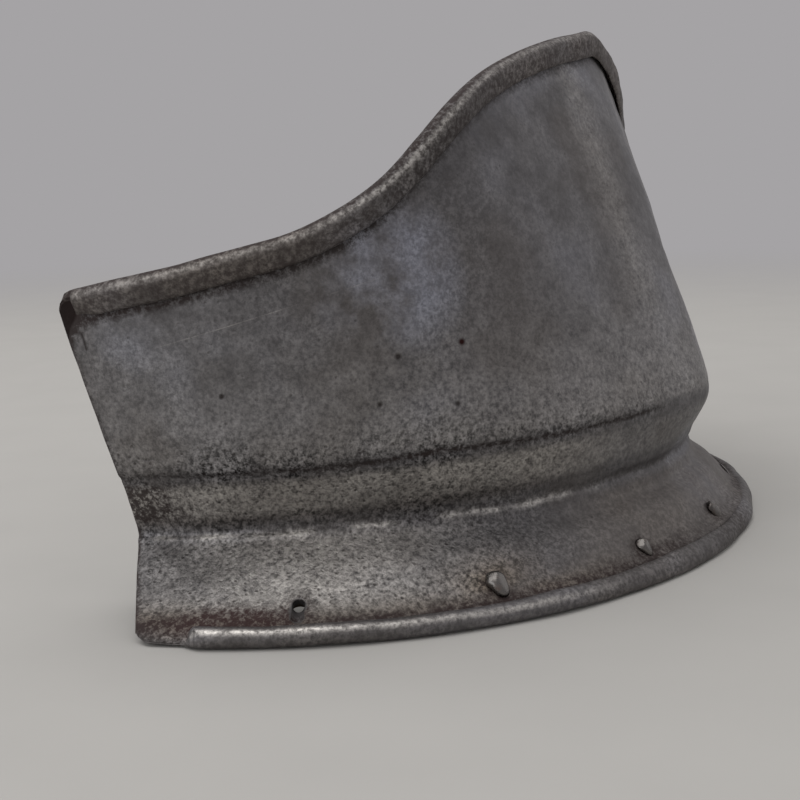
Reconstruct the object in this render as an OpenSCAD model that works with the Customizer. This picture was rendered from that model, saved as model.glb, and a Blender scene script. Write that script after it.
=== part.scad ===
// Bevor: the chin and throat guard of a knight's helmet.
// One forged steel plate stands on a flared flange, turns in at the neck, comes out again at a crease
// and leans back above it to a turned upper edge. Both long edges are rolled outwards round a wire.
// Rivets through the flange hold a leather lining band inside it, each peened over an iron washer.
// Millimetres. The origin is on the neck's axis, in the plane that the flange stands on.
// +Z is up, the prow points along -Y and the wearer's left is +X.
// Angles go round the neck from the prow, positive towards the wearer's right.

/* [Flange] */
// Half width of the plate at the flange's edge, inside the roll
rim_half_width = 113; // [104:0.5:122]
// Reach of the flange's edge in front of the neck's axis
rim_reach = 104.5; // [100:0.5:114]

/* [Neck] */
// Half width at the neck's crease
neck_half_width = 87.5; // [80:0.5:92]
// Reach of the neck in front of the axis
neck_reach = 91.5; // [84:0.5:95]
// Distance of the neck's widest place behind the axis
neck_setback = 5.5; // [0:0.5:10]
// Height of the neck's crease at the sides
neck_side_height = 12.5; // [10:0.5:18]
// Height of the neck's crease at the prow
neck_front_height = 19; // [15:0.5:24]
// How far the bend at the neck is rounded along the plate
neck_round = 2.5; // [1:0.5:4]

/* [Crease] */
// Half width at the upper crease
crease_half_width = 92.5; // [88:0.5:98]
// Reach of the upper crease in front of the axis
crease_reach = 95.5; // [92:0.5:102]
// Height of the upper crease at the sides
crease_side_height = 25; // [22:0.5:32]
// Height of the upper crease at the prow
crease_front_height = 32.5; // [28:0.5:40]
// How far the bend at the upper crease is rounded along the plate
crease_round = 4; // [1:0.5:6]

/* [Upper plate] */
// Height at which the next two sizes are measured
brow_height = 100; // [90:1:120]
// Half width of the plate carried on to that height
brow_half_width = 99; // [90:0.5:108]
// Reach of the plate at that height, without its keel
brow_reach = 70.5; // [62:0.5:86]
// How far the keel stands out from the round front
keel_rise = 3.5; // [0:0.5:6]
// Angle over which the keel fades into the sides
keel_spread = 11; // [8:1:20]

/* [Outline] */
// Thickness of the steel plate
plate_t = 1.4; // [1:0.1:2]
// Angle from the prow to the rear edge, at the flange
rear_angle = 79; // [72:1:86]
// Angle that the rear edge gains on the way up to the brow height
rear_gain = 22.5; // [11:0.5:27]
// Height of the upper edge at the rear corners
rear_height = 60.5; // [52:0.5:66]
// Height that the upper edge gains steadily from the rear corners to the prow
side_rise = 26; // [18:0.5:32]
// Height of the upper edge at the prow
prow_height = 111.5; // [104:0.5:124]
// Share of the way from the prow to the rear edge at which the upper edge climbs
climb_place = 0.395; // [0.32:0.005:0.44]
// Share of the way over which it climbs
climb_spread = 0.082; // [0.06:0.002:0.09]

/* [Rolled edges] */
// Diameter of the wire in the upper edge
upper_wire_d = 1.6; // [1.2:0.1:2.4]
// Diameter of the wire in the flange's edge
lower_wire_d = 1.2; // [1:0.1:2]
// Thickness that the plate is drawn out to in the rolls
roll_t = 0.9; // [0.7:0.1:1]
// Clearance between a wire and the plate rolled round it
wire_clear = 0.15; // [0.1:0.05:0.3]
// Smallest gap between a rolled lip and the plate that it returns to
lip_gap = 0.4; // [0.3:0.05:0.6]
// Length of the flap that hangs down the plate's face from the upper roll
flap_run = 3.6; // [2.5:0.1:5]
// How far that flap is cut back at the rear corners
end_cut = 3; // [1:0.5:5]

/* [Lining band] */
// Distance of the band's lower edge up the plate from the flange's edge
band_low = 5; // [4:0.5:6]
// Width of the leather band
band_width = 10; // [8:0.5:12]
// Thickness of the leather band
band_t = 1.4; // [1:0.1:1.6]
// Distance of the stitches below the band's upper edge
stitch_inset = 2; // [1.5:0.1:3]
// Length of one stitch
stitch_length = 4; // [2.5:0.1:5]
// Thickness of the linen thread
thread_d = 0.9; // [0.6:0.1:1.2]

/* [Rivets] */
// Angle between neighbouring rivets
rivet_spacing = 21; // [18:0.1:22]
// Angle of the front rivet off the prow, towards the wearer's right
front_shift = 2.7; // [0:0.1:4]
// Distance of the rivets up the plate from the flange's edge
rivet_up = 7.5; // [7.4:0.1:9]
// Diameter of a rivet's shank
shank_d = 2.2; // [1.8:0.1:2.6]
// Clearance round a shank in its holes
shank_clear = 0.1; // [0.05:0.05:0.2]
// Diameter of a rivet's head
head_d = 4.4; // [3.6:0.1:5.4]
// Height of a rivet's head
head_h = 1.9; // [1.4:0.1:2.4]
// Diameter of a washer
washer_d = 5.2; // [4.4:0.1:6]
// Thickness of a washer
washer_t = 0.6; // [0.4:0.1:0.8]
// Diameter of a rivet's peened tail
tail_d = 3.4; // [3:0.1:4]
// Height of a rivet's peened tail
tail_h = 0.7; // [0.5:0.1:0.9]
// Clearance between pieces that lie on each other
seat_clear = 0.15; // [0.1:0.05:0.25]

/* [Hidden] */

// Fineness: columns round the plate, steps round a roll, sides of a wire, facets of round pieces
columns = 40;
roll_steps = 8;
wire_sides = 8;
$fn = 48;

// The upper roll turns half a circle and ends in a flap, which leans in to the plate at this slope
upper_turn = 180;
flap_slope = 0.36;
// The lower roll turns three quarters of a circle before its lip runs straight back to the plate
lower_turn = 270;
// Small differences for measuring directions on the plate
angle_step = 0.05;
length_step = 0.05;

upper_curl_r = upper_wire_d / 2 + wire_clear;
lower_curl_r = lower_wire_d / 2 + wire_clear;
// The wires stop this many columns short of the plate's ends
upper_wire_short = 1;
lower_wire_short = 2;

steel = "#5b5a58";
iron = "#6a6662";
leather = "#4a3526";
linen = "#b7a98a";

// Angles of the rivets, from the wearer's right to left, and of the place whose rivet is lost
front_angle = front_shift;
right_1_angle = rivet_spacing;
right_2_angle = 2 * rivet_spacing;
lost_angle = 3 * rivet_spacing;
left_1_angle = -rivet_spacing;
left_2_angle = -2 * rivet_spacing;
left_3_angle = -3 * rivet_spacing;
hole_angles = [
    lost_angle, right_2_angle, right_1_angle, front_angle, left_1_angle, left_2_angle, left_3_angle
];

// Depths below the plate's outer face of the faces stacked on a rivet
band_depth = plate_t + seat_clear;
washer_depth = band_depth + band_t + seat_clear;
tail_depth = washer_depth + washer_t + seat_clear;

// A point of a level ring: half an ellipse round the neck, higher or lower at the prow than at the sides
function ring(angle, half_width, reach, setback, side_height, front_height) = [
    -half_width * sin(angle),
    setback - (reach + setback) * cos(angle),
    side_height + (front_height - side_height) * cos(angle)
];
function neck_ring(angle) =
    ring(angle, neck_half_width, neck_reach, neck_setback, neck_side_height, neck_front_height);
function crease_ring(angle) =
    ring(angle, crease_half_width, crease_reach, 0, crease_side_height, crease_front_height);
function brow_ring(angle) =
    ring(angle, brow_half_width, brow_reach, 0, brow_height, brow_height);

// The flange's edge is lifted so that the roll under it lies flat on the ground all the way round
function rim_ring(angle) =
    let(
        flat = ring(angle, rim_half_width, rim_reach, 0, 0, 0),
        neck = neck_ring(angle),
        slant = norm(neck - flat),
        run = norm([neck.x - flat.x, neck.y - flat.y])
    )
    flat + [0, 0, plate_t + lower_curl_r * (1 - run / slant)];

// Lengths up the plate from the flange's edge, measured half way round the front
flank = 45;
flange_run = norm(neck_ring(flank) - rim_ring(flank));
band_run = norm(crease_ring(flank) - neck_ring(flank));
upper_run = norm(brow_ring(flank) - crease_ring(flank));
neck_at = flange_run;
crease_at = flange_run + band_run;
brow_at = crease_at + upper_run;

// A ramp that starts at zero with a rounded corner
function ramp(length, round) = (length + sqrt(length * length + round * round)) / 2;
// A smooth step from zero to one
function smooth(share) = let(s = max(0, min(1, share))) s * s * (3 - 2 * s);

// Outer face of the plate: straight from ring to ring with rounded bends, and a keel above the neck
function face(angle, up) =
    let(
        flange = (neck_ring(angle) - rim_ring(angle)) / flange_run,
        band = (crease_ring(angle) - neck_ring(angle)) / band_run,
        upper = (brow_ring(angle) - crease_ring(angle)) / upper_run,
        keel = keel_rise * exp(-pow(angle / keel_spread, 2)) * smooth((up - neck_at) / band_run)
    )
    rim_ring(angle) + flange * up
    + (band - flange) * ramp(up - neck_at, neck_round)
    + (upper - band) * ramp(up - crease_at, crease_round)
    - [0, keel, 0];

function unit(v) = v / norm(v);
// Direction out of the plate
function outward(angle, up) =
    unit(cross(
        face(angle, up + length_step) - face(angle, up - length_step),
        face(angle + angle_step, up) - face(angle - angle_step, up)
    ));

// The share goes from -1 at the left rear edge through 0 at the prow to 1 at the right rear edge
function angle_at(share, up) = share * (rear_angle + rear_gain * up / brow_at);

// Height of the upper edge: a steady rise to the prow and an S-shaped climb
function climb(share) = 1 / (1 + exp((abs(share) - climb_place) / climb_spread));
function edge_height(share) =
    rear_height + side_rise * (1 - abs(share))
    + (prow_height - rear_height - side_rise) * climb(share) / climb(0);
// Length up the plate at which that height is reached
function edge_up(share) =
    let(
        angle = angle_at(share, crease_at + upper_run / 2),
        from = crease_ring(angle).z
    )
    crease_at + upper_run * (edge_height(share) - from) / (brow_height - from);

function upper_edge(share) = let(up = edge_up(share)) face(angle_at(share, up), up);
function lower_edge(share) = face(angle_at(share, 0), 0);

// Frame of a roll: its start, the direction out of the plate and the direction past the edge
function roll_frame(start, normal, along) =
    let(past = unit(cross(along, normal))) [start, normal, past];
function upper_frame(share) =
    let(up = edge_up(share))
    roll_frame(
        upper_edge(share), outward(angle_at(share, up), up),
        upper_edge(share + length_step / 10) - upper_edge(share - length_step / 10)
    );
function lower_frame(share) =
    roll_frame(
        lower_edge(share), outward(angle_at(share, 0), 0),
        lower_edge(share - length_step / 10) - lower_edge(share + length_step / 10)
    );

// Centre of the wire in a roll
function roll_centre(frame, curl_r) = frame[0] + frame[1] * curl_r;
// Thickness of a roll after some of its turn: full up to 60 degrees, drawn out at 150 degrees
function roll_wall(turn) = plate_t + (roll_t - plate_t) * max(0, min(1, (turn - 60) / 90));
// Inner and outer point of a roll after some of its turn
function roll_pair(frame, curl_r, turn) =
    let(
        centre = roll_centre(frame, curl_r),
        to_wire = frame[1] * cos(turn) - frame[2] * sin(turn)
    )
    [centre - to_wire * curl_r, centre - to_wire * (curl_r + roll_wall(turn))];
// A roll's point after its whole turn, moved back along the lip or flap
function lip_pair(frame, curl_r, turn, back) = [for (point = roll_pair(frame, curl_r, turn)) point - back];

function lower_roll(share) =
    let(frame = lower_frame(share))
    concat(
        [for (step = [1:roll_steps]) roll_pair(frame, lower_curl_r, lower_turn * step / roll_steps)],
        [lip_pair(frame, lower_curl_r, lower_turn, frame[1] * (lower_curl_r - lip_gap))]
    );

// At the rear corners the upper roll is cut back more and more towards its flap
cut_share = 0.05 * end_cut / norm(upper_edge(1) - upper_edge(0.95));
function cut_back(share, part) = abs(share) > 0.99 ? share - sign(share) * cut_share * part : share;
flap_close = min(2 * upper_curl_r - lip_gap, flap_slope * flap_run);
function upper_roll(share) =
    let(frame = upper_frame(cut_back(share, 1)))
    concat(
        [
            for (step = [1:roll_steps])
                let(part = step / roll_steps)
                roll_pair(upper_frame(cut_back(share, part)), upper_curl_r, upper_turn * part)
        ],
        [lip_pair(frame, upper_curl_r, upper_turn, frame[2] * flap_run + frame[1] * flap_close)]
    );
function reversed(list) = [for (i = [len(list) - 1:-1:0]) list[i]];

// Inner and outer point of a sheet that lies a depth below the plate's outer face
function sheet_pair(angle, up, depth, thickness) =
    let(top = face(angle, up), normal = outward(angle, up))
    [top - normal * depth, top - normal * (depth + thickness)];

// Lengths up the plate at which its section has points: close together in the two bends
flange_points = [for (i = [0:4]) i / 5 * (neck_at - 1.5 * neck_round)];
neck_points = [for (i = [-1.5, -0.6, 0, 0.6, 1.5]) neck_at + i * neck_round];
crease_points = [for (i = [-1.2, -0.5, 0, 0.5, 1.2]) crease_at + i * crease_round];
upper_points = 8;
function section_points(share) =
    let(
        from = crease_at + 1.2 * crease_round,
        run = edge_up(share) - from
    )
    concat(flange_points, neck_points, crease_points,
        [for (i = [1:upper_points]) from + run * i / upper_points]);

// One column of the plate, from the lower lip up and over to the upper lip
function plate_column(share) = concat(
    reversed(lower_roll(share)),
    [for (up = section_points(share)) sheet_pair(angle_at(share, up), up, 0, plate_t)],
    upper_roll(share)
);
function column_share(column) = 2 * column / columns - 1;

// Point numbers in a sheet made of columns of inner and outer points
function point_id(rows, column, row, side) = (column * rows + row) * 2 + side;
function two_triangles(a, b, c, d) = [[a, b, c], [a, c, d]];

// Closed solid from columns of point pairs
module sheet_solid(column_list) {
    rows = len(column_list[0]);
    last_row = rows - 1;
    last = len(column_list) - 1;
    points = [for (column = column_list) for (pair = column) for (point = pair) point];
    sides = [
        for (c = [0:last - 1]) for (r = [0:last_row - 1]) each concat(
            two_triangles(
                point_id(rows, c, r, 0), point_id(rows, c + 1, r, 0),
                point_id(rows, c + 1, r + 1, 0), point_id(rows, c, r + 1, 0)
            ),
            two_triangles(
                point_id(rows, c, r + 1, 1), point_id(rows, c + 1, r + 1, 1),
                point_id(rows, c + 1, r, 1), point_id(rows, c, r, 1)
            )
        )
    ];
    long_edges = [
        for (c = [0:last - 1]) each concat(
            two_triangles(
                point_id(rows, c, 0, 1), point_id(rows, c + 1, 0, 1),
                point_id(rows, c + 1, 0, 0), point_id(rows, c, 0, 0)
            ),
            two_triangles(
                point_id(rows, c, last_row, 0), point_id(rows, c + 1, last_row, 0),
                point_id(rows, c + 1, last_row, 1), point_id(rows, c, last_row, 1)
            )
        )
    ];
    ends = [
        for (r = [0:last_row - 1]) each concat(
            two_triangles(
                point_id(rows, 0, r, 1), point_id(rows, 0, r, 0),
                point_id(rows, 0, r + 1, 0), point_id(rows, 0, r + 1, 1)
            ),
            two_triangles(
                point_id(rows, last, r, 0), point_id(rows, last, r, 1),
                point_id(rows, last, r + 1, 1), point_id(rows, last, r + 1, 0)
            )
        )
    ];
    polyhedron(points, concat(sides, long_edges, ends));
}

// Closed round bar through a list of rings of points
module bar_solid(rings) {
    sides = len(rings[0]);
    last = len(rings) - 1;
    points = [for (one_ring = rings) for (point = one_ring) point];
    walls = [
        for (r = [0:last - 1]) for (s = [0:sides - 1])
            let(next = (s + 1) % sides)
            each two_triangles(
                r * sides + s, (r + 1) * sides + s, (r + 1) * sides + next, r * sides + next
            )
    ];
    start_cap = [for (s = [1:sides - 2]) [0, s, s + 1]];
    end_cap = [for (s = [1:sides - 2]) [last * sides, last * sides + s + 1, last * sides + s]];
    polyhedron(points, concat(walls, start_cap, end_cap));
}

// Ring of points round a wire
function wire_ring(frame, curl_r, radius) = [
    for (s = [0:wire_sides - 1])
        let(turn = 360 * s / wire_sides)
        roll_centre(frame, curl_r) + (frame[1] * cos(turn) + frame[2] * sin(turn)) * radius
];

// Puts its children on the plate's outer face at a rivet's place, with +Z straight out of the plate
module at_rivet(angle) {
    out = outward(angle, rivet_up);
    translate(face(angle, rivet_up))
        rotate([0, acos(out.z), atan2(out.y, out.x)])
            children();
}

module rivet_hole(angle) {
    deep = 2 * tail_depth;
    at_rivet(angle)
        translate([0, 0, -deep / 2])
            cylinder(h = deep, d = shank_d + 2 * shank_clear);
}

// Low dome standing on a flat face: the cap of a sphere
module dome(diameter, height) {
    base = diameter / 2;
    sphere_r = (base * base + height * height) / (2 * height);
    intersection() {
        translate([0, 0, height - sphere_r])
            sphere(r = sphere_r);
        cylinder(h = height, r = base);
    }
}

module rivet(angle) {
    color(iron)
        at_rivet(angle) {
            translate([0, 0, seat_clear])
                dome(head_d, head_h);
            translate([0, 0, -tail_depth])
                cylinder(h = tail_depth + seat_clear, d = shank_d);
            translate([0, 0, -tail_depth])
                mirror([0, 0, 1])
                    dome(tail_d, tail_h);
        }
}

module washer(angle) {
    color(iron)
        at_rivet(angle)
            translate([0, 0, -washer_depth - washer_t])
                difference() {
                    cylinder(h = washer_t, d = washer_d);
                    translate([0, 0, -washer_t])
                        cylinder(h = 3 * washer_t, d = shank_d + 2 * shank_clear);
                }
}

module bevor_plate() {
    color(steel)
        difference() {
            sheet_solid([for (c = [0:columns]) plate_column(column_share(c))]);
            for (angle = hole_angles)
                rivet_hole(angle);
        }
}

module upper_edge_wire() {
    color(iron)
        bar_solid([
            for (c = [upper_wire_short:columns - upper_wire_short])
                wire_ring(upper_frame(column_share(c)), upper_curl_r, upper_wire_d / 2)
        ]);
}

module lower_edge_wire() {
    color(iron)
        bar_solid([
            for (c = [lower_wire_short:columns - lower_wire_short])
                wire_ring(lower_frame(column_share(c)), lower_curl_r, lower_wire_d / 2)
        ]);
}

// The band runs on past the rear rivets to the last column but one
band_columns = [for (c = [2:columns - 2]) column_share(c)];
band_high = band_low + band_width;
module lining_band() {
    color(leather)
        difference() {
            sheet_solid([
                for (share = band_columns) [
                    for (up = [band_low, rivet_up, band_high])
                        sheet_pair(angle_at(share, up), up, band_depth, band_t)
                ]
            ]);
            for (angle = hole_angles)
                rivet_hole(angle);
        }
}

// A row of stitches lies along the band's inner face, one between each pair of columns
stitch_up = band_high - stitch_inset;
stitch_sink = seat_clear;
module stitch(share) {
    angle = angle_at(share, stitch_up);
    out = outward(angle, stitch_up);
    along = unit(face(angle + angle_step, stitch_up) - face(angle - angle_step, stitch_up));
    middle = face(angle, stitch_up) - out * (band_depth + band_t + thread_d / 2 + stitch_sink);
    translate(middle)
        rotate([0, acos(along.z), atan2(along.y, along.x)])
            translate([0, 0, -stitch_length / 2])
                cylinder(h = stitch_length, d = thread_d);
}
module lining_thread() {
    color(linen)
        for (c = [2:columns - 3])
            stitch((column_share(c) + column_share(c + 1)) / 2);
}

module rivet_front() { rivet(front_angle); }
module rivet_right_1() { rivet(right_1_angle); }
module rivet_right_2() { rivet(right_2_angle); }
module rivet_left_1() { rivet(left_1_angle); }
module rivet_left_2() { rivet(left_2_angle); }
module rivet_left_3() { rivet(left_3_angle); }
module washer_front() { washer(front_angle); }
module washer_right_1() { washer(right_1_angle); }
module washer_right_2() { washer(right_2_angle); }
module washer_left_1() { washer(left_1_angle); }
module washer_left_2() { washer(left_2_angle); }
module washer_left_3() { washer(left_3_angle); }

bevor_plate();
upper_edge_wire();
lower_edge_wire();
lining_band();
lining_thread();
rivet_front();
rivet_right_1();
rivet_right_2();
rivet_left_1();
rivet_left_2();
rivet_left_3();
washer_front();
washer_right_1();
washer_right_2();
washer_left_1();
washer_left_2();
washer_left_3();
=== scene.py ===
from functools import partial

import bmesh
import bpy
import numpy as np
from mathutils import Matrix


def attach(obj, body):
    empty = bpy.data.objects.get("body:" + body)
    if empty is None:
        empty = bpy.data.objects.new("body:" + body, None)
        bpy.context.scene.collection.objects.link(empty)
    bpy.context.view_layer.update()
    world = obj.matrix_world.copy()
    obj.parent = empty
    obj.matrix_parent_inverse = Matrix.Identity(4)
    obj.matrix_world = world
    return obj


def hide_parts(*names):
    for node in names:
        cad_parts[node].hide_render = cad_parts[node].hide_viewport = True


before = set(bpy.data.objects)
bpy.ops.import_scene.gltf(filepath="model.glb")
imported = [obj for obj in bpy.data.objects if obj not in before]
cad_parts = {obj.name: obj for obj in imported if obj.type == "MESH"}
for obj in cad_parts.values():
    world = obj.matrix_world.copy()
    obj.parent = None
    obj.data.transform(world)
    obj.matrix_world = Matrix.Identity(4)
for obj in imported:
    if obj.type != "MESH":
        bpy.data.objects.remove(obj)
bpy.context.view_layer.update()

bl_info = {
    "name": "Bevor",
    "version": (1, 0, 0),
    "blender": (4, 5, 0),
    "location": "3D View > Sidebar > Bevor",
    "description": "Builds an old steel bevor: plate, rolled edges, lining band, rivets and washers",
    "category": "Add Mesh",
}

MM = 0.001
DEG = np.pi / 180.0
BODY = "root"
RIVET_PLACES = ("front", "right_1", "right_2", "left_1", "left_2", "left_3")

# How finely the pieces are divided
PLATE_COLUMNS, UPPER_ROWS, ROLL_STEPS, LIP_STEPS = 284, 38, 18, 6
BAND_COLUMNS, BAND_ROWS = 260, 18
STITCHES, STITCH_RINGS, THREAD_SIDES = 36, 15, 12
RIVET_SIDES, HOLE_SIDES, CHANNEL_SIDES, FLOOR_SIDES = 48, 40, 32, 64

# How far the edges are rolled, how far the upper roll is cut back at its ends, and, as shares of the way to the
# rear, where the rolls open, where the lower one flattens, which columns follow it there, and where band and
# stitches end
LOWER_ROLL, UPPER_ROLL = 270 * DEG, 180 * DEG
ROLL_END_CUT = 6.2 * MM
OPEN_FROM = 0.92
FLAT_FROM, FLAT_OVER = 0.918, 0.022
FLAT_COLUMNS = np.linspace(0.913, 0.947, 12)
BAND_END, STITCH_END = 0.9, 0.875
EDGE_ROUND = 0.5 * MM

# Unsteady lines and hammer marks: seed, number of waves, shortest and longest wave
MARK_WAVES = (1, 22, 14 * MM, 48 * MM)
SMALL_MARK_WAVES = (2, 26, 4 * MM, 9 * MM)
CREASE_WAVES = (5, 6, 18 * MM, 70 * MM)
NECK_WAVES = (6, 6, 20 * MM, 80 * MM)
EDGE_WAVES = (7, 10, 12 * MM, 60 * MM)
REAR_WAVES = (8, 8, 12 * MM, 50 * MM)
ROLL_WAVES = (9, 12, 6 * MM, 30 * MM)
BEAD_WAVES = (12, 7, 9 * MM, 45 * MM)
TRIM_WAVES = (21, 9, 8 * MM, 50 * MM)
SLACK_WAVES = (22, 6, 15 * MM, 60 * MM)
RIVET_SEED, RIVET_WAVES = 30, (7, 2 * MM, 6 * MM)

# Rows of the plate up to its knee, close together at the two creases: from, to and step
KNEE = 47 * MM
KNEE_ROWS = ((0.0, 20.0, 1.3), (20.0, 32.0, 0.5), (32.0, 36.0, 1.0), (36.0, 47.0, 0.5))

# The floor fades out between two distances. Lamps: place and side of the square in metres, watts and tint
FLOOR_FADE = (0.38, 1.06)
FLOOR_RINGS = (0.0, 0.4, 1.0, 3.0, 8.0)
FLOOR_DROP = 0.05 * MM
LAMP_AIM = (0.0, -0.03, 0.04)
LAMPS = {
    "overhead": ((-0.1, 0.2, 1.0), 1.2, 6.5, (1.0, 0.99, 0.98)),
    "front_side": ((0.6, -0.6, 0.55), 0.9, 0.85, (1.0, 1.0, 1.0)),
    "rear_side": ((-0.95, 0.3, 0.3), 0.9, 2.8, (0.98, 0.99, 1.0)),
}


# Colours and properties

def linear(hex_colour):
    """Turns an sRGB hex colour into linear red, green, blue and alpha."""
    srgb = np.array([int(hex_colour[i:i + 2], 16) for i in (1, 3, 5)]) / 255.0
    low = srgb / 12.92
    high = ((srgb + 0.055) / 1.055) ** 2.4
    return (*np.where(srgb <= 0.04045, low, high).tolist(), 1.0)


def length(name, millimetres, description):
    """A length property, written in millimetres and held in metres."""
    return bpy.props.FloatProperty(
        name=name, description=description, default=millimetres * MM, unit="LENGTH", precision=4)


def angle(name, degrees, description):
    """An angle property, written in degrees and held in radians."""
    return bpy.props.FloatProperty(
        name=name, description=description, default=degrees * DEG, subtype="ANGLE")


def share(name, value, description):
    """A plain number between nought and one."""
    return bpy.props.FloatProperty(
        name=name, description=description, default=value, min=0.0, max=1.0, subtype="FACTOR")


def colour(name, hex_colour, description):
    """A colour property, written as an sRGB hex value and held as linear numbers."""
    return bpy.props.FloatVectorProperty(
        name=name, description=description, default=linear(hex_colour), size=4,
        min=0.0, max=1.0, subtype="COLOR")


class BevorSizes(bpy.types.PropertyGroup):
    """Sizes of the plate and of the pieces on it, the same as in the solid model."""

    rim_half_width: length("Flange half width", 113, "Half width at the flange's edge")
    rim_reach: length("Flange reach", 104.5, "Reach of the flange's edge in front of the neck's axis")
    neck_half_width: length("Neck half width", 87.5, "Half width at the neck's crease")
    neck_reach: length("Neck reach", 91.5, "Reach of the neck in front of the axis")
    neck_setback: length("Neck setback", 5.5, "Distance of the neck's widest place behind the axis")
    neck_side_height: length("Neck side height", 12.5, "Height of the neck's crease at the sides")
    neck_front_height: length("Neck front height", 19, "Height of the neck's crease at the prow")
    neck_round: length("Neck rounding", 2.5, "Rounding of the bend at the neck")
    crease_half_width: length("Crease half width", 92.5, "Half width at the upper crease")
    crease_reach: length("Crease reach", 95.5, "Reach of the upper crease in front of the axis")
    crease_side_height: length("Crease side height", 25, "Height of the upper crease at the sides")
    crease_front_height: length("Crease front height", 32.5, "Height of the upper crease at the prow")
    crease_round: length("Crease rounding", 4, "Rounding of the bend at the upper crease")
    brow_height: length("Brow height", 100, "Height at which the brow sizes are measured")
    brow_half_width: length("Brow half width", 99, "Half width of the plate at the brow")
    brow_reach: length("Brow reach", 70.5, "Reach of the plate at the brow")
    keel_rise: length("Keel rise", 3.5, "How far the keel stands out of the round front")
    keel_spread: angle("Keel spread", 11, "Angle over which the keel fades into the sides")
    plate_t: length("Plate thickness", 1.4, "Thickness of the steel plate")
    rear_angle: angle("Rear angle", 79, "Angle from the prow to the rear edge at the flange")
    rear_gain: angle("Rear gain", 22.5, "Angle that the rear edge gains on the way up to the brow")
    rear_height: length("Rear height", 60.5, "Height of the upper edge at the rear corners")
    side_rise: length("Side rise", 26, "Steady rise of the upper edge from rear to prow")
    prow_height: length("Prow height", 111.5, "Height of the upper edge at the prow")
    climb_place: share("Climb place", 0.395, "Share of the way to the rear at which the edge climbs")
    climb_spread: share("Climb spread", 0.082, "Share of the way over which the edge climbs")
    upper_wire_d: length("Upper wire", 1.6, "Diameter of the wire in the upper edge")
    lower_wire_d: length("Lower wire", 1.2, "Diameter of the wire in the flange's edge")
    roll_t: length("Roll thickness", 0.9, "Thickness of the plate where it is drawn thin round a wire")
    wire_clear: length("Wire clearance", 0.15, "Clearance between a wire and the roll round it")
    lip_gap: length("Lip gap", 0.4, "Gap between a hammered lip and the plate")
    flap_run: length("Flap", 3.6, "Length of the flap that hangs down from the upper roll")
    band_low: length("Band foot", 5, "Distance of the lining band up from the flange's edge")
    band_width: length("Band width", 10, "Width of the leather band")
    band_t: length("Band thickness", 1.4, "Thickness of the leather band")
    stitch_inset: length("Stitch inset", 2, "Distance of the stitches from the band's upper edge")
    stitch_length: length("Stitch length", 4, "Length of one stitch")
    thread_d: length("Thread", 0.9, "Thickness of the linen thread")
    rivet_spacing: angle("Rivet spacing", 21, "Angle between neighbouring rivets")
    front_shift: angle("Front rivet shift", 2.7, "Angle of the front rivet off the prow")
    rivet_up: length("Rivet line", 7.5, "Distance of the rivets up from the flange's edge")
    shank_d: length("Shank", 2.2, "Diameter of a rivet's shank")
    shank_clear: length("Shank clearance", 0.1, "Clearance round a shank")
    washer_d: length("Washer", 5.2, "Diameter of a washer")
    washer_t: length("Washer thickness", 0.6, "Thickness of a washer")
    tail_d: length("Rivet tail", 3.4, "Diameter of a rivet's peened tail")
    tail_h: length("Tail height", 0.7, "Height of a rivet's peened tail")
    seat_clear: length("Seat clearance", 0.15, "Clearance between pieces that lie on each other")


class BevorColours(bpy.types.PropertyGroup):
    """Colours of the steel, iron, leather, thread and stage."""

    steel_dark: colour("Dark steel", "#626061", "Darkened plate between the worn places")
    steel_mid: colour("Grey steel", "#7d7b7c", "Plain grey plate")
    # Blue steel is also the colour of the painted reflections in the blue places
    steel_blue_and_reflection: colour("Blue steel", "#9c9ea8", "Bluish sheen in patches of the plate")
    steel_brown: colour("Brown steel", "#7b7063", "Thin brown bloom in patches of the plate")
    # Worn steel also paints light on the band, above the upper crease, on the roll crests and beside the keel
    steel_worn_and_sheen: colour("Worn steel", "#d3cfc9", "Rubbed metal on rolls, flange and keel")
    pit_brown: colour("Pit brown", "#2c2625", "Old rust in the pits")
    pit_red: colour("Pit red", "#351f1e", "Fresher rust in one deep pit")
    # Grime also paints shade under the upper roll's flap, on the lower roll, in the open roll ends, on the rear
    # edges and round the rivets
    grime_and_shade: colour("Grime", "#2a2220", "Brown dirt in the creases and along the rolls")
    scale_brown: colour("Forge scale", "#3a322d", "Unpolished inner face")
    iron: colour("Rivet iron", "#7a7774", "Hammered rivet heads")
    rust: colour("Rust", "#4a3327", "Rust on wires, washers and rivets")
    leather: colour("Leather", "#58473a", "Old strap leather")
    linen: colour("Linen", "#a89878", "Waxed linen thread")
    floor: colour("Floor", "#adaba8", "Pale floor")
    backdrop: colour("Backdrop", "#a5a3a5", "Pale grey behind the object")


class BevorStage(bpy.types.PropertyGroup):
    """Camera."""

    camera_distance: length("Camera distance", 356, "Distance of the camera from its aim")
    camera_angle: angle("Camera angle", 64.2, "Angle from the prow to the camera, to the wearer's right")
    camera_rise: angle("Camera rise", 9.6, "Angle of the camera above its aim")
    camera_roll: angle("Camera roll", -1.6, "Tilt of the picture")
    aim_height: length("Aim height", 25.8, "Height of the camera's aim")
    aim_shift: length("Aim shift", 19.2, "Distance of the aim from the neck's axis, to the right")
    lens: bpy.props.FloatProperty(
        name="Lens", description="Focal length in millimetres", default=62.3, min=1.0, subtype="NONE")


# Shape of the plate

def ramp(run, rounding):
    """A ramp with a rounded start: (x + sqrt(x^2 + r^2)) / 2."""
    return 0.5 * (run + np.sqrt(run * run + rounding * rounding))


def smooth(value):
    """The S-shaped step 3x^2 - 2x^3, held between nought and one."""
    x = np.clip(value, 0.0, 1.0)
    return x * x * (3.0 - 2.0 * x)


def bell(distance, width):
    """The bell curve exp(-(d / w)^2)."""
    return np.exp(-np.square(distance / width))


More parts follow.
